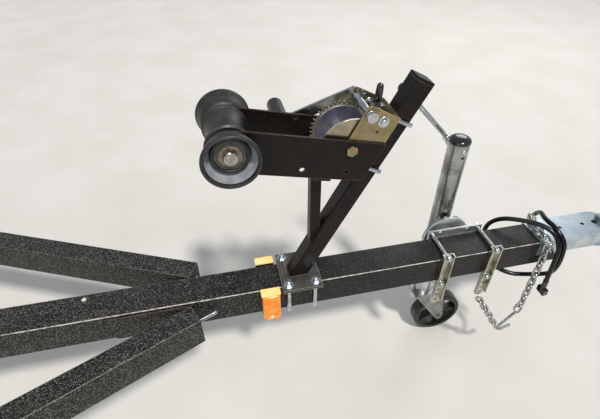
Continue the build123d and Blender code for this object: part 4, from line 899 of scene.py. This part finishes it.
@dataclass
class BowRoller:
    """Waisted rubber spool between the arms, a cupped bell outside each arm, and the bolt through them."""

    x: float = -0.927
    z: float = 0.407
    arm_wall: float = 0.004
    side_gap: float = 0.003
    pin_radius: float = 0.00635
    bore: float = 0.00643
    end_radius: float = 0.042
    end_round: float = 0.003
    waist_radius: float = 0.033
    waist_steps: int = 20
    bell_radius: float = 0.051
    bell_depth: float = 0.040
    hub_step: float = 0.014
    washer_gap: float = 0.0003
    washer_thick: float = 0.0026
    washer_radius: float = 0.0200
    shank_past: float = 0.0030
    nut_across: float = 0.0232
    nut_height: float = 0.0092
    tip_start: float = 0.0115
    tip_length: float = 0.0022

    def build(self, shop: Shop) -> None:
        """Make the spool, the bells and the bolt in place of their plain solids.

        Args:
            shop: Makes the pieces.
        """
        end = ARM_HALF_GAP - self.side_gap
        start = self.end_round - end
        outline = [(self.bore, -end), (self.end_radius - self.end_round, -end), (self.end_radius, start)]
        for i in range(1, self.waist_steps):
            y = start - 2 * start * i / self.waist_steps
            share = (y / end) ** 2
            outline.append((self.waist_radius + (self.end_radius - self.waist_radius) * share, y))
        outline += [(self.end_radius, -start), (self.end_radius - self.end_round, end), (self.bore, end)]
        self._rubber(shop, "bow_roller_spool_moulded", outline, 1, "bow_roller_spool")
        root = ARM_HALF_GAP + self.arm_wall + self.side_gap
        for side, word in ((-1, "near"), (1, "far")):
            self._bell(shop, side, word, root)
        self._bolt(shop, root + self.hub_step)

    def _about_pin(self, outline: Outline, side: int) -> Shape:
        """Turn an outline about the pin, on one side of the trailer's middle."""
        return turned([(r, side * y) for r, y in outline], (self.x, 0, self.z), around=96)

    def _rubber(self, shop: Shop, name: str, outline: Outline, side: int, node: str) -> None:
        """Make one rubber moulding in place of its plain solid."""
        shop.piece(name, self._about_pin(outline, side), "roller_rubber", "bow_roller", stands_for=node)

    def _bell(self, shop: Shop, side: int, word: str, root: float) -> None:
        """Make one bell: thick rounded rim, cup, ridge round the hub, and the bushing's ring.

        Args:
            shop: Makes the pieces.
            side: 1 for port, -1 for starboard.
            word: The side's word in the names.
            root: Distance of the bell's root from the trailer's middle.
        """
        rim = root + self.bell_depth
        hub = root + self.hub_step
        outline = [
            (self.bore, root), (0.0340, root), (0.0385, root + 0.0018), (0.0415, root + 0.0060),
            (0.0440, root + 0.0140), (0.0468, rim - 0.0150), (0.0495, rim - 0.0105), (0.0508, rim - 0.0075),
            (self.bell_radius, rim - 0.0045), (0.0503, rim - 0.0020), (0.0488, rim - 0.0004),
            (0.0470, rim), (0.0452, rim - 0.0008), (0.0441, rim - 0.0028), (0.0436, rim - 0.0070),
            (0.0418, root + 0.0180), (0.0395, root + 0.0120), (0.0368, root + 0.0090),
            (0.0345, root + 0.0080), (0.0335, root + 0.0090), (0.0333, hub + 0.0030),
            (0.0326, hub + 0.0042), (0.0312, hub + 0.0046), (0.0284, hub + 0.0044), (0.0272, hub + 0.0034),
            (0.0268, hub), (self.bore, hub)]
        self._rubber(shop, f"bow_roller_bell_{word}", outline, side, "bow_roller_bells")
        lining = [
            (0.0434, rim - 0.0072), (0.0416, root + 0.0182), (0.0393, root + 0.0122),
            (0.0366, root + 0.0093), (0.0346, root + 0.0083), (0.0346, root + 0.0081),
            (0.0368, root + 0.0089), (0.0396, root + 0.0119), (0.0419, root + 0.0180),
            (0.0437, rim - 0.0070)]
        shop.piece(f"bell_lining_{word}", self._about_pin(lining, side), "bleached_rubber", "bow_roller")
        ring = washer((self.x, side * hub, self.z), (0, side, 0), bore=0.0205, radius=0.0262, thick=0.0012)
        shop.piece(f"bell_bushing_{word}", ring, "clamp_paint", "bow_roller")

    def _bolt(self, shop: Shop, hub: float) -> None:
        """Make the bolt with its head to starboard and its nut to port, over a rusty washer each.

        Args:
            shop: Makes the pieces.
            hub: Distance of the bells' hubs from the trailer's middle.
        """
        seat = hub + self.washer_gap
        nut_seat = seat + self.washer_thick
        shank_end = seat + self.shank_past
        washers = [washer((self.x, side * seat, self.z), (0, side, 0), self.pin_radius, self.washer_radius,
                          self.washer_thick) for side in (-1, 1)]
        shop.piece("bow_roller_washers", joined(washers), "rusty_steel", "frame",
                   stands_for="bow_roller_pin")
        shapes = [turned([(self.pin_radius, -shank_end), (self.pin_radius, shank_end)],
                         (self.x, 0, self.z), closed=False, around=32)]
        shapes += [nut((self.x, side * nut_seat, self.z), (0, side, 0), self.nut_across, self.nut_height)
                   for side in (-1, 1)]
        crown = [(0.0098, 0.0), (0.0092, 0.0010), (0.0060, 0.0018), (0.0005, 0.0021)]
        shapes.append(turned(crown, (self.x, -nut_seat - self.nut_height, self.z), STARBOARD, False, 32))
        tip = (self.x, seat + self.tip_start, self.z)
        shapes.append(thread(tip, PORT, self.pin_radius, self.tip_length))
        shop.piece("bow_roller_bolt", joined(shapes), "chain_zinc", "frame", stands_for="bow_roller_pin")


@dataclass
class WinchTrim:
    """The winch's small parts: shaft washer, nuts on the plates, faces of the drum, pawl with its tip."""

    plate: float = 0.003
    shaft_gap: float = 0.0005
    drum_x: float = -0.71048
    drum_z: float = 0.37701
    gear_face_y: float = 0.0300
    flange_face_y: float = -0.0350
    small_nut: tuple[float, float] = (-0.6387, 0.4155)
    small_hole: tuple[float, float] = (-0.6642, 0.4064)
    lever_tilt: Point = (0.0593, 0.0, 0.9982)
    pin_radius: float = 0.005
    pin_half: float = 0.047

    def build(self, shop: Shop) -> None:
        """Make the trim of the plates, the drum and the pawl.

        Args:
            shop: Makes the pieces.
        """
        near, inside = -ARM_HALF_GAP, ARM_HALF_GAP - self.plate
        shaft_washer = washer((WINCH_CRANK_X, near - self.shaft_gap, WINCH_CRANK_Z), STARBOARD,
                              bore=0.0066, radius=0.0110, thick=0.0018)
        shop.piece("winch_shaft_washer", shaft_washer, "bright_zinc", "winch_crank")
        shapes = []
        for y, radius, thick, height in ((near, 0.0105, 0.0014, 0.0052), (inside, 0.0095, 0.0012, 0.0050)):
            seat = (WINCH_PAWL_X, y, WINCH_PAWL_Z)
            shapes.append(washer(seat, STARBOARD, self.pin_radius, radius, thick))
            shapes.append(nut((WINCH_PAWL_X, y - thick, WINCH_PAWL_Z), STARBOARD, 0.013, height))
        x, z = self.small_nut
        shapes.append(nut((x, inside, z), STARBOARD, across=0.011, height=0.0042))
        shop.piece("winch_plate_nuts", joined(shapes), "bright_zinc", "frame")
        # Painted shade: a near-black disc on the near plate stands for the shade inside its small hole.
        x, z = self.small_hole
        hole_shade = turned([(0.0026, 0.0), (0.0024, 0.00015)], (x, near, z), STARBOARD, False, 24)
        shop.piece("winch_plate_hole_shade", hole_shade, "painted_hole_shade", "frame")
        for name, y, bore, radius, finish in (
                ("gear_face", self.gear_face_y, 0.0164, 0.0508, "violet_zinc"),
                ("flange_face", self.flange_face_y, 0.0120, 0.0568, "gold_zinc")):
            face = washer((self.drum_x, y, self.drum_z), STARBOARD, bore, radius, thick=0.0004)
            shop.piece(name, face, finish, "winch_drum")
        self._pawl(shop)

    def _pawl(self, shop: Shop) -> None:
        """Make the pawl's pin and lever in zinc, and the lever's tip in rubber.

        Args:
            shop: Makes the pieces.
        """
        centre = (WINCH_PAWL_X, 0, WINCH_PAWL_Z)
        pin = turned([(self.pin_radius, -self.pin_half), (self.pin_radius, self.pin_half)], centre,
                     closed=False, around=32)
        boss = turned([(0.0085, -0.015), (0.0100, -0.0138), (0.0100, 0.0138), (0.0085, 0.015)], centre,
                      closed=False, around=40)
        lever = turned([(0.0060, 0.004), (0.0052, 0.026)], centre, self.lever_tilt, False, 32)
        shop.piece("winch_pawl_steel", joined([pin, boss, lever]), "dull_zinc", "frame",
                   stands_for="winch_pawl")
        tip = [(0.0058, 0.020), (0.0068, 0.0212), (0.0070, 0.024), (0.0066, 0.046), (0.0060, 0.0505),
               (0.0044, 0.0532), (0.0020, 0.0544), (0.0004, 0.0546)]
        shop.piece("winch_pawl_tip", turned(tip, centre, self.lever_tilt, False, 40), "glossy_plastic",
                   "frame", stands_for="winch_pawl")


@dataclass
class JackTrim:
    """The jack's domed cap, and the pin near its tube's top with a near-black disc painted as the shade in
    the slot.
    """

    cap_radius: float = 0.0262
    cap_skirt: float = 0.0028
    cap_rise: float = 0.0120
    cap_steps: int = 9
    tube_radius: float = 0.025
    tube_wall: float = 0.0028
    pin_x: float = JACK_X + 0.002
    pin_z: float = 0.2521
    slot_x: float = JACK_X + 0.0015
    slot_z: float = 0.2385

    def build(self, shop: Shop) -> None:
        """Make the cap in place of its plain solid, the pin, and a near-black disc that paints the shade in
        the slot.

        Args:
            shop: Makes the pieces.
        """
        inside = self.tube_radius - self.tube_wall
        profile = [(inside, -0.0050), (inside, 0.0), (self.cap_radius, 0.0002),
                   (self.cap_radius, self.cap_skirt)]
        for i in range(1, self.cap_steps):
            turn = pi / 2 * i / self.cap_steps
            profile.append((self.cap_radius * cos(turn), self.cap_skirt + self.cap_rise * sin(turn)))
        profile.append((0.0006, self.cap_skirt + self.cap_rise))
        cap = turned(profile, (JACK_X, JACK_Y, JACK_TOP_Z), UP, False, 64)
        shop.piece("jack_cap_domed", cap, "glossy_plastic", "jack_swing", stands_for="jack_cap")
        front = JACK_Y - self.tube_radius
        pin = joined([
            washer((self.pin_x, front + 0.0004, self.pin_z), STARBOARD, 0.0015, radius=0.0060, thick=0.0012),
            nut((self.pin_x, front - 0.0006, self.pin_z), STARBOARD, across=0.008, height=0.0036)])
        shop.piece("jack_tube_pin", pin, "bright_zinc", "jack_swing")
        # Painted shade: a near-black disc just proud of the tube stands for the shade in the slot below the
        # pin.
        slot_place = (self.slot_x, front - 0.0001, self.slot_z)
        slot = turned([(0.0036, 0.0), (0.0034, 0.0004)], slot_place, STARBOARD, False, 24)
        shop.piece("jack_tube_slot_shade", slot, "painted_hole_shade", "jack_swing")


@dataclass
class Welds:
    """Rippled weld beads at the post's foot, the joint plates and the cross members' ends."""

    radius: float = 0.0021
    ripple: float = 0.0036
    post_x: float = -0.8029
    post_half_x: float = 0.0212
    post_half_y: float = 0.0188
    plate_xs: tuple[float, float] = (-1.215, -1.055)
    plate_half_height: float = 0.0325
    plate_reach: float = 0.0015
    rail_inner_y: float = 0.5346
    rail_half_height: float = 0.0381
    rail_sunk: float = 0.0006
    end_gap: float = 0.005
    cross_xs: Sequence[float] = (-2.260, -3.200, -4.9246)
    cross_half: float = 0.0254

    def _bead(self, corners: Sequence[Point]) -> Shape:
        """Run one bead through corners, its radius rising and falling as the ripples do.

        Args:
            corners: Points that the bead runs through.

        Returns:
            Vertices and faces.
        """
        path: list[Vector] = []
        for start, end in zip(corners, corners[1:]):
            a, b = Vector(start), Vector(end)
            count = max(2, round((b - a).length / (self.ripple / 2)))
            path += [a.lerp(b, i / count) for i in range(count)]
        path.append(Vector(corners[-1]))
        radii = [self.radius * (1.12 if i % 2 else 0.88) for i in range(len(path))]
        return bar(path, radii, False, 8)

    def build(self, shop: Shop) -> None:
        """Make the beads of the frame.

        Args:
            shop: Makes the pieces.
        """
        x0, x1 = self.post_x - self.post_half_x, self.post_x + self.post_half_x
        y0, y1 = -self.post_half_y, self.post_half_y
        foot = [(x, y, CLAMP_TOP_Z) for x, y in ((x0, y0), (x1, y0), (x1, y1), (x0, y1), (x0, y0))]
        shop.piece("post_foot_weld", self._bead(foot), "satin_black_paint", "frame", 50.0)
        beads = []
        rise = self.rail_half_height - self.end_gap
        for side in (-1, 1):
            plate_y = side * (TONGUE_HALF + self.plate_reach)
            for z in (RAIL_MIDDLE_Z - self.plate_half_height, RAIL_MIDDLE_Z + self.plate_half_height):
                beads.append(self._bead([(x, plate_y, z) for x in self.plate_xs]))
            y = side * (self.rail_inner_y - self.rail_sunk)
            for middle in self.cross_xs:
                for x in (middle - self.cross_half, middle + self.cross_half):
                    beads.append(self._bead([(x, y, RAIL_MIDDLE_Z - rise), (x, y, RAIL_MIDDLE_Z + rise)]))
        shop.piece("frame_welds", joined(beads), "satin_black_paint", "frame", 50.0)


@dataclass
class Tyre:
    """Road tyre with ribs, grooves and shoulder blocks."""

    axle_x: float = -3.650
    axle_z: float = -0.140
    middle_y: float = 0.745
    radius: float = 0.300
    groove: float = 0.006
    around: int = 144
    outer: Outline = (
        (0.1663, 0.053), (0.179, 0.0535), (0.187, 0.066), (0.202, 0.0795), (0.213, 0.0845), (0.215, 0.0855),
        (0.217, 0.0850), (0.220, 0.0865), (0.238, 0.0885), (0.256, 0.0875), (0.272, 0.0835), (0.285, 0.0785),
        (0.293, 0.0735), (0.2975, 0.067))
    inner: Outline = ((0.284, 0.060), (0.262, 0.077), (0.238, 0.080), (0.204, 0.070),
                                            (0.182, 0.045), (0.1663, 0.044))
    tread_ys: Sequence[float] = (0.058, 0.050, 0.046, 0.039, 0.035, 0.019, 0.015, 0.006, 0.002)
    sunk: Sequence[int] = (2, 3, 6, 7)
    blocks_every: int = 6

    def build(self, shop: Shop, side: int) -> None:
        """Make one tyre.

        Args:
            shop: Makes the piece.
            side: 1 for port, -1 for starboard.
        """
        half = [(r, y, False) for r, y in self.outer]
        half += [(self.radius - (self.groove if i in self.sunk else 0.0), y, i < 2)
                 for i, y in enumerate(self.tread_ys)]
        loop = half + [(r, -y, block) for r, y, block in reversed(half)]
        loop += [(r, -y, False) for r, y in reversed(self.inner)]
        loop += [(r, y, False) for r, y in self.inner]
        vertices = []
        for i in range(self.around):
            turn = 2 * pi * i / self.around
            for r, y, block in loop:
                depth = self.groove * 0.8 if block and i % self.blocks_every == 0 else 0.0
                vertices.append((self.axle_x + (r - depth) * cos(turn), side * (self.middle_y + y),
                                 self.axle_z + (r - depth) * sin(turn)))
        word = "left" if side > 0 else "right"
        shape = (vertices, ring_faces(self.around, len(loop), True))
        shop.piece(f"tyre_{word}_treaded", shape, "tyre_rubber", f"wheel_{word}", stands_for=f"tyre_{word}")


def rounded_rectangle(half_u: float, half_v: float, corner: float) -> list[tuple[float, float]]:
    """Return a rounded rectangle's points.

    Args:
        half_u: Half its width.
        half_v: Half its height.
        corner: Radius of its corners.

    Returns:
        Points of (u, v), anticlockwise.
    """
    points = []
    for quarter, (su, sv) in enumerate(((1, 1), (-1, 1), (-1, -1), (1, -1))):
        u, v = su * (half_u - corner), sv * (half_v - corner)
        for step in range(5):
            turn = pi / 2 * (quarter + step / 4)
            points.append((u + corner * cos(turn), v + corner * sin(turn)))
    return points


@dataclass
class MarkerLamps:
    """Amber lamps beside the tongue: black base, lens with a sloped top and a raised frame, and a top layer
    in paler amber that is a painted highlight.
    """

    x: float = -0.8735
    length: float = 0.044
    height: float = 0.085
    top_z: float = 0.035
    cap_thick: float = 0.0022
    base_rows: Outline = ((0.0, 0.0006), (0.0030, 0.0006), (0.0034, 0.0014))
    lens_rows: Outline = (
        (0.0032, 0.0012), (0.0180, 0.0016), (0.0222, 0.0022), (0.0242, 0.0036), (0.0250, 0.0054),
        (0.0250, 0.0080), (0.0232, 0.0090), (0.0232, 0.0120), (0.0246, 0.0127), (0.0246, 0.0148),
        (0.0234, 0.0155))
    cap_rows: Outline = ((0.0008, 0.0), (0.0190, 0.0), (0.0215, 0.0009), (0.0230, 0.0030))
    cap_overlap: float = 0.0006

    def build(self, shop: Shop) -> None:
        """Make both lamps in place of their plain solids.

        Args:
            shop: Makes the pieces.
        """
        lens_top = self.top_z - self.cap_thick
        low = self.top_z - self.height
        for side, word in ((-1, "near"), (1, "far")):
            cap_low = lens_top - self.cap_overlap
            # The top layer's paler amber is a painted highlight where the sun falls on the lamp's top.
            for name, rows, z0, z1, finish, slot in (
                    ("base", self.base_rows, low, lens_top, "black_plastic", "black_plastic"),
                    ("lens", self.lens_rows, low, lens_top, "amber_lens", "amber_lens"),
                    ("top", self.cap_rows, cap_low, self.top_z, "amber_painted_highlight", "amber_lens")):
                shop.piece(f"marker_{name}_{word}", self._layers(side, rows, z0, z1), finish, "frame",
                           stands_for="marker_lamps")

    def _layers(self, side: int, rows: Outline, low: float, high: float) -> Shape:
        """Stack rounded rectangles outward from the tongue, each with its own inset.

        Args:
            side: 1 for port, -1 for starboard.
            rows: Distance from the tongue and inset of each layer.
            low: Height of the lower edge.
            high: Height of the upper edge.

        Returns:
            Vertices and faces.
        """
        half_height = (high - low) / 2
        vertices: list[Point] = []
        ring: list[tuple[float, float]] = []
        for out, inset in rows:
            down = min(inset, 0.45 * half_height)
            corner = max(0.0006, min(0.0045 - inset / 4, 0.45 * half_height))
            ring = rounded_rectangle(self.length / 2 - inset, half_height - down, corner)
            vertices += [(self.x + u, side * (TONGUE_HALF + out), low + half_height + v) for u, v in ring]
        return vertices, ring_faces(len(rows), len(ring), False)


@dataclass
class TailLamps:
    """Red lenses of the rear lamps, each with a raised frame and a stepped middle."""

    back_x: float = -4.993
    middle_y: float = 0.665
    half_width: float = 0.059
    half_height: float = 0.056
    rows: Outline = (
        (0.0, 0.0), (0.0050, 0.0), (0.0072, 0.0010), (0.0080, 0.0030), (0.0080, 0.0075), (0.0062, 0.0090),
        (0.0062, 0.0200), (0.0074, 0.0210), (0.0074, 0.0240), (0.0062, 0.0250), (0.0062, 0.0360),
        (0.0074, 0.0370), (0.0074, 0.0400))

    def build(self, shop: Shop) -> None:
        """Make both lenses in place of their plain solids.

        Args:
            shop: Makes the pieces.
        """
        for side, word in ((-1, "right"), (1, "left")):
            vertices: list[Point] = []
            ring: list[tuple[float, float]] = []
            for out, inset in self.rows:
                corner = max(0.002, 0.008 - inset / 4)
                ring = rounded_rectangle(self.half_width - inset, self.half_height - inset, corner)
                x = self.back_x - out
                vertices += [(x, side * self.middle_y + u, RAIL_MIDDLE_Z + v) for u, v in ring]
            shape = (vertices, ring_faces(len(self.rows), len(ring), False))
            shop.piece(f"tail_lens_{word}", shape, "red_lens", "frame", stands_for="rear_lamp_lenses")


@dataclass
class SafetyChain:
    """Round-wire chain links, alternate ones turned, on the same runs as their plain solids."""

    pitch: float = 0.022
    wire: float = 0.0029
    wire_space: float = 0.003
    width: float = 0.021
    slack: float = 0.0009
    bend_steps: int = 8
    lean: Point = (0.31, 0.22, 0.92)
    over_coupler: Sequence[Point] = (
        (-0.155, 0.0535, 0.0198), (-0.158, 0.0535, 0.038), (-0.163, 0.0465, 0.0448),
        (-0.171, 0.020, 0.0445), (-0.176, -0.020, 0.0445), (-0.179, -0.0465, 0.0448),
        (-0.179, -0.0535, 0.038), (-0.176, -0.054, -0.035), (-0.173, -0.054, -0.196),
        (-0.1784, -0.0531, -0.2249))
    from_hook: Sequence[Point] = (
        (-0.2216, -0.050, -0.2894), (-0.266, -0.049, -0.216), (-0.317, -0.0475, -0.137))

    def _joints(self, route: Sequence[Point]) -> list[Vector]:
        """Return the places where links meet, evenly along a route.

        Args:
            route: Corners of the run.

        Returns:
            The places, from the start of the run to its end.
        """
        corners = [Vector(p) for p in route]
        lengths = [(b - a).length for a, b in zip(corners, corners[1:])]
        count = round(sum(lengths) / self.pitch)
        step = sum(lengths) / count
        joints = []
        for i in range(count + 1):
            left = i * step
            for start, end, length in zip(corners, corners[1:], lengths):
                if left <= length + 1e-9:
                    joints.append(start.lerp(end, min(1.0, left / length)))
                    break
                left -= length
            else:
                joints.append(corners[-1].copy())
        return joints

    def build(self, shop: Shop) -> None:
        """Make both runs as one piece.

        Args:
            shop: Makes the pieces.
        """
        straight = (self.pitch + self.slack + 4 * self.wire_space - self.width) / 2
        radius = self.width / 2 - self.wire_space
        loop = []
        for end, first in ((1, -90), (-1, 90)):
            for step in range(self.bend_steps + 1):
                turn = radians(first + 180 * step / self.bend_steps)
                loop.append(Vector((end * straight + radius * cos(turn), radius * sin(turn), 0)))
        shapes = []
        for route in (self.over_coupler, self.from_hook):
            joints = self._joints(route)
            for i, (start, end) in enumerate(zip(joints, joints[1:])):
                along = (end - start).normalized()
                side = along.cross(Vector(self.lean)).normalized()
                up = side.cross(along)
                normal = (up + side if i % 2 else up - side).normalized()
                frame_of_link = Matrix((along, normal.cross(along), normal)).transposed()
                middle = (start + end) / 2
                shapes.append(bar([middle + frame_of_link @ p for p in loop], self.wire, True, 10))
        shop.piece("safety_chain_links", joined(shapes), "chain_zinc", "frame", 60.0,
                   stands_for="safety_chains")


@dataclass
class Harness:
    """Lighting cord looped over the tongue, with its flat plug."""

    radius: float = 0.006
    route: Sequence[Point] = (
        (-0.215, 0.012, -0.043), (-0.215, 0.012, -0.080), (-0.195, 0.0275, -0.104), (-0.165, 0.0495, -0.104),
        (-0.1455, 0.0635, -0.0785), (-0.141, 0.066, -0.040), (-0.138, 0.066, -0.006), (-0.136, 0.066, 0.028),
        (-0.144, 0.040, 0.062), (-0.160, 0.006, 0.069), (-0.153, -0.030, 0.067), (-0.140, -0.060, 0.044),
        (-0.137, -0.068, 0.006), (-0.134, -0.068, -0.034), (-0.133, -0.059, -0.072),
        (-0.147, -0.037, -0.096),
        (-0.180, -0.022, -0.104), (-0.212, -0.014, -0.103), (-0.244, 0.014, -0.098), (-0.262, 0.044, -0.080),
        (-0.269, 0.064, -0.048), (-0.272, 0.068, -0.010), (-0.270, 0.064, 0.026), (-0.254, 0.042, 0.058),
        (-0.216, 0.014, 0.067), (-0.180, -0.016, 0.069), (-0.158, -0.044, 0.058), (-0.152, -0.066, 0.026),
        (-0.151, -0.068, -0.020), (-0.148, -0.068, -0.060), (-0.145, -0.068, -0.096))
    length: float = 1.14

    def build(self, shop: Shop) -> None:
        """Args:
            shop: Makes the pieces.
        """
        curve = bpy.data.curves.new("lighting_cord", "CURVE")
        curve.dimensions = "3D"
        curve.bevel_depth = self.radius
        curve.bevel_resolution = 4
        curve.use_fill_caps = True
        spline = curve.splines.new("NURBS")
        spline.points.add(len(self.route) - 1)
        for point, spot in zip(spline.points, self.route):
            point.co = (*spot, 1.0)
        spline.order_u = 3
        spline.use_endpoint_u = True
        spline.resolution_u = 12
        curve.materials.append(shop.materials["cord_jacket"])
        cord = bpy.data.objects.new("lighting_cord", curve)
        bpy.context.scene.collection.objects.link(cord)
        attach(cord, "frame")
        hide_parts("harness_cord")
        log.info("lighting_cord: %d route points", len(self.route))


@dataclass
class Stage:
    """Pale floor, one high soft sun, fill lamps and the camera at the photograph's place."""

    camera_place: Point = (-0.950, -0.691, 0.806)
    forward: Point = (0.1677, 0.7509, -0.6388)
    up: Point = (0.1393, 0.6234, 0.7694)
    lens: float = 26.71
    sun_travel: Point = (-0.148, 0.633, -1.0)
    sun_strength: float = 2.7
    sun_spread: float = 5.0
    sky_strength: float = 0.42
    sky_colour: Colour = (0.86, 0.92, 1.0)
    lamp_aim: Point = (-0.7, 0, 0.1)
    lamps: Sequence[tuple[str, Point, float, float]] = (
        ("fill", (-3.2, -3.4, 2.6), 2.4, 34.0), ("rim", (1.6, 2.8, 2.2), 2.0, 30.0))

    def build(self) -> None:
        """Make the floor, world, lamps and camera."""
        scene = bpy.context.scene
        scene.view_settings.view_transform = "Standard"
        self._floor()
        world = bpy.data.worlds.new("studio")
        world.use_nodes = True
        background = world.node_tree.nodes["Background"]
        background.inputs["Color"].default_value = (*self.sky_colour, 1.0)
        background.inputs["Strength"].default_value = self.sky_strength
        scene.world = world
        self._lamps(scene)
        self._camera(scene)

    def _lamps(self, scene: bpy.types.Scene) -> None:
        """Add the sun and the two area lamps, all aimed at the winch.

        Args:
            scene: The scene that they light.
        """
        sun = bpy.data.lights.new("key", "SUN")
        sun.energy, sun.angle, sun.color = self.sun_strength, radians(self.sun_spread), (1.0, 0.97, 0.92)
        key = bpy.data.objects.new("key", sun)
        key.rotation_euler = Vector(self.sun_travel).to_track_quat("-Z", "Y").to_euler()
        scene.collection.objects.link(key)
        for name, spot, size, power in self.lamps:
            data = bpy.data.lights.new(name, "AREA")
            data.shape, data.size, data.energy = "DISK", size, power
            lamp = bpy.data.objects.new(name, data)
            lamp.location = spot
            lamp.rotation_euler = (Vector(self.lamp_aim) - Vector(spot)).to_track_quat("-Z", "Y").to_euler()
            scene.collection.objects.link(lamp)

    def _camera(self, scene: bpy.types.Scene) -> None:
        """Set the camera where the photograph was taken.

        Args:
            scene: The scene that it looks at.
        """
        data = bpy.data.cameras.new("photo_camera")
        data.lens, data.sensor_width, data.clip_start = self.lens, 36.0, 0.05
        camera = bpy.data.objects.new("photo_camera", data)
        ahead = Vector(self.forward).normalized()
        side = ahead.cross(Vector(self.up)).normalized()
        turn = Matrix((side, side.cross(ahead), -ahead)).transposed().to_4x4()
        camera.matrix_world = Matrix.Translation(self.camera_place) @ turn
        scene.collection.objects.link(camera)
        scene.camera = camera

    @staticmethod
    def _floor() -> None:
        """Lay a large pale floor that keeps the trailer's shadow."""
        mesh = bpy.data.meshes.new("floor")
        reach = 30.0
        corners = [(-reach, -reach, GROUND_Z), (reach, -reach, GROUND_Z), (reach, reach, GROUND_Z),
                   (-reach, reach, GROUND_Z)]
        mesh.from_pydata(corners, [], [(0, 1, 2, 3)])
        material = bpy.data.materials.new("pale_floor")
        material.use_nodes = True
        graph = Graph(material.node_tree)
        shader = material.node_tree.nodes["Principled BSDF"]
        tone = graph.mix(graph.ramp(graph.noise(3.0), 0.3, 0.7), linear("d6d3ce"), linear("cfccc6"))
        material.node_tree.links.new(tone, shader.inputs["Base Color"])
        shader.inputs["Roughness"].default_value = 0.9
        mesh.materials.append(material)
        floor = bpy.data.objects.new("floor", mesh)
        bpy.context.scene.collection.objects.link(floor)


def main() -> None:
    """Build the trailer's pieces in order."""
    logging.basicConfig(level=logging.INFO, format="%(message)s")
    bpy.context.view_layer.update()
    shop = Shop()
    Stage().build()
    shop.dress_nodes()
    Harness().build(shop)
    BowRoller().build(shop)
    WinchTrim().build(shop)
    JackTrim().build(shop)
    Fastenings().build(shop)
    Welds().build(shop)
    for side in (1, -1):
        Tyre().build(shop, side)
    MarkerLamps().build(shop)
    TailLamps().build(shop)
    SafetyChain().build(shop)


if __name__ == "__main__":
    main()
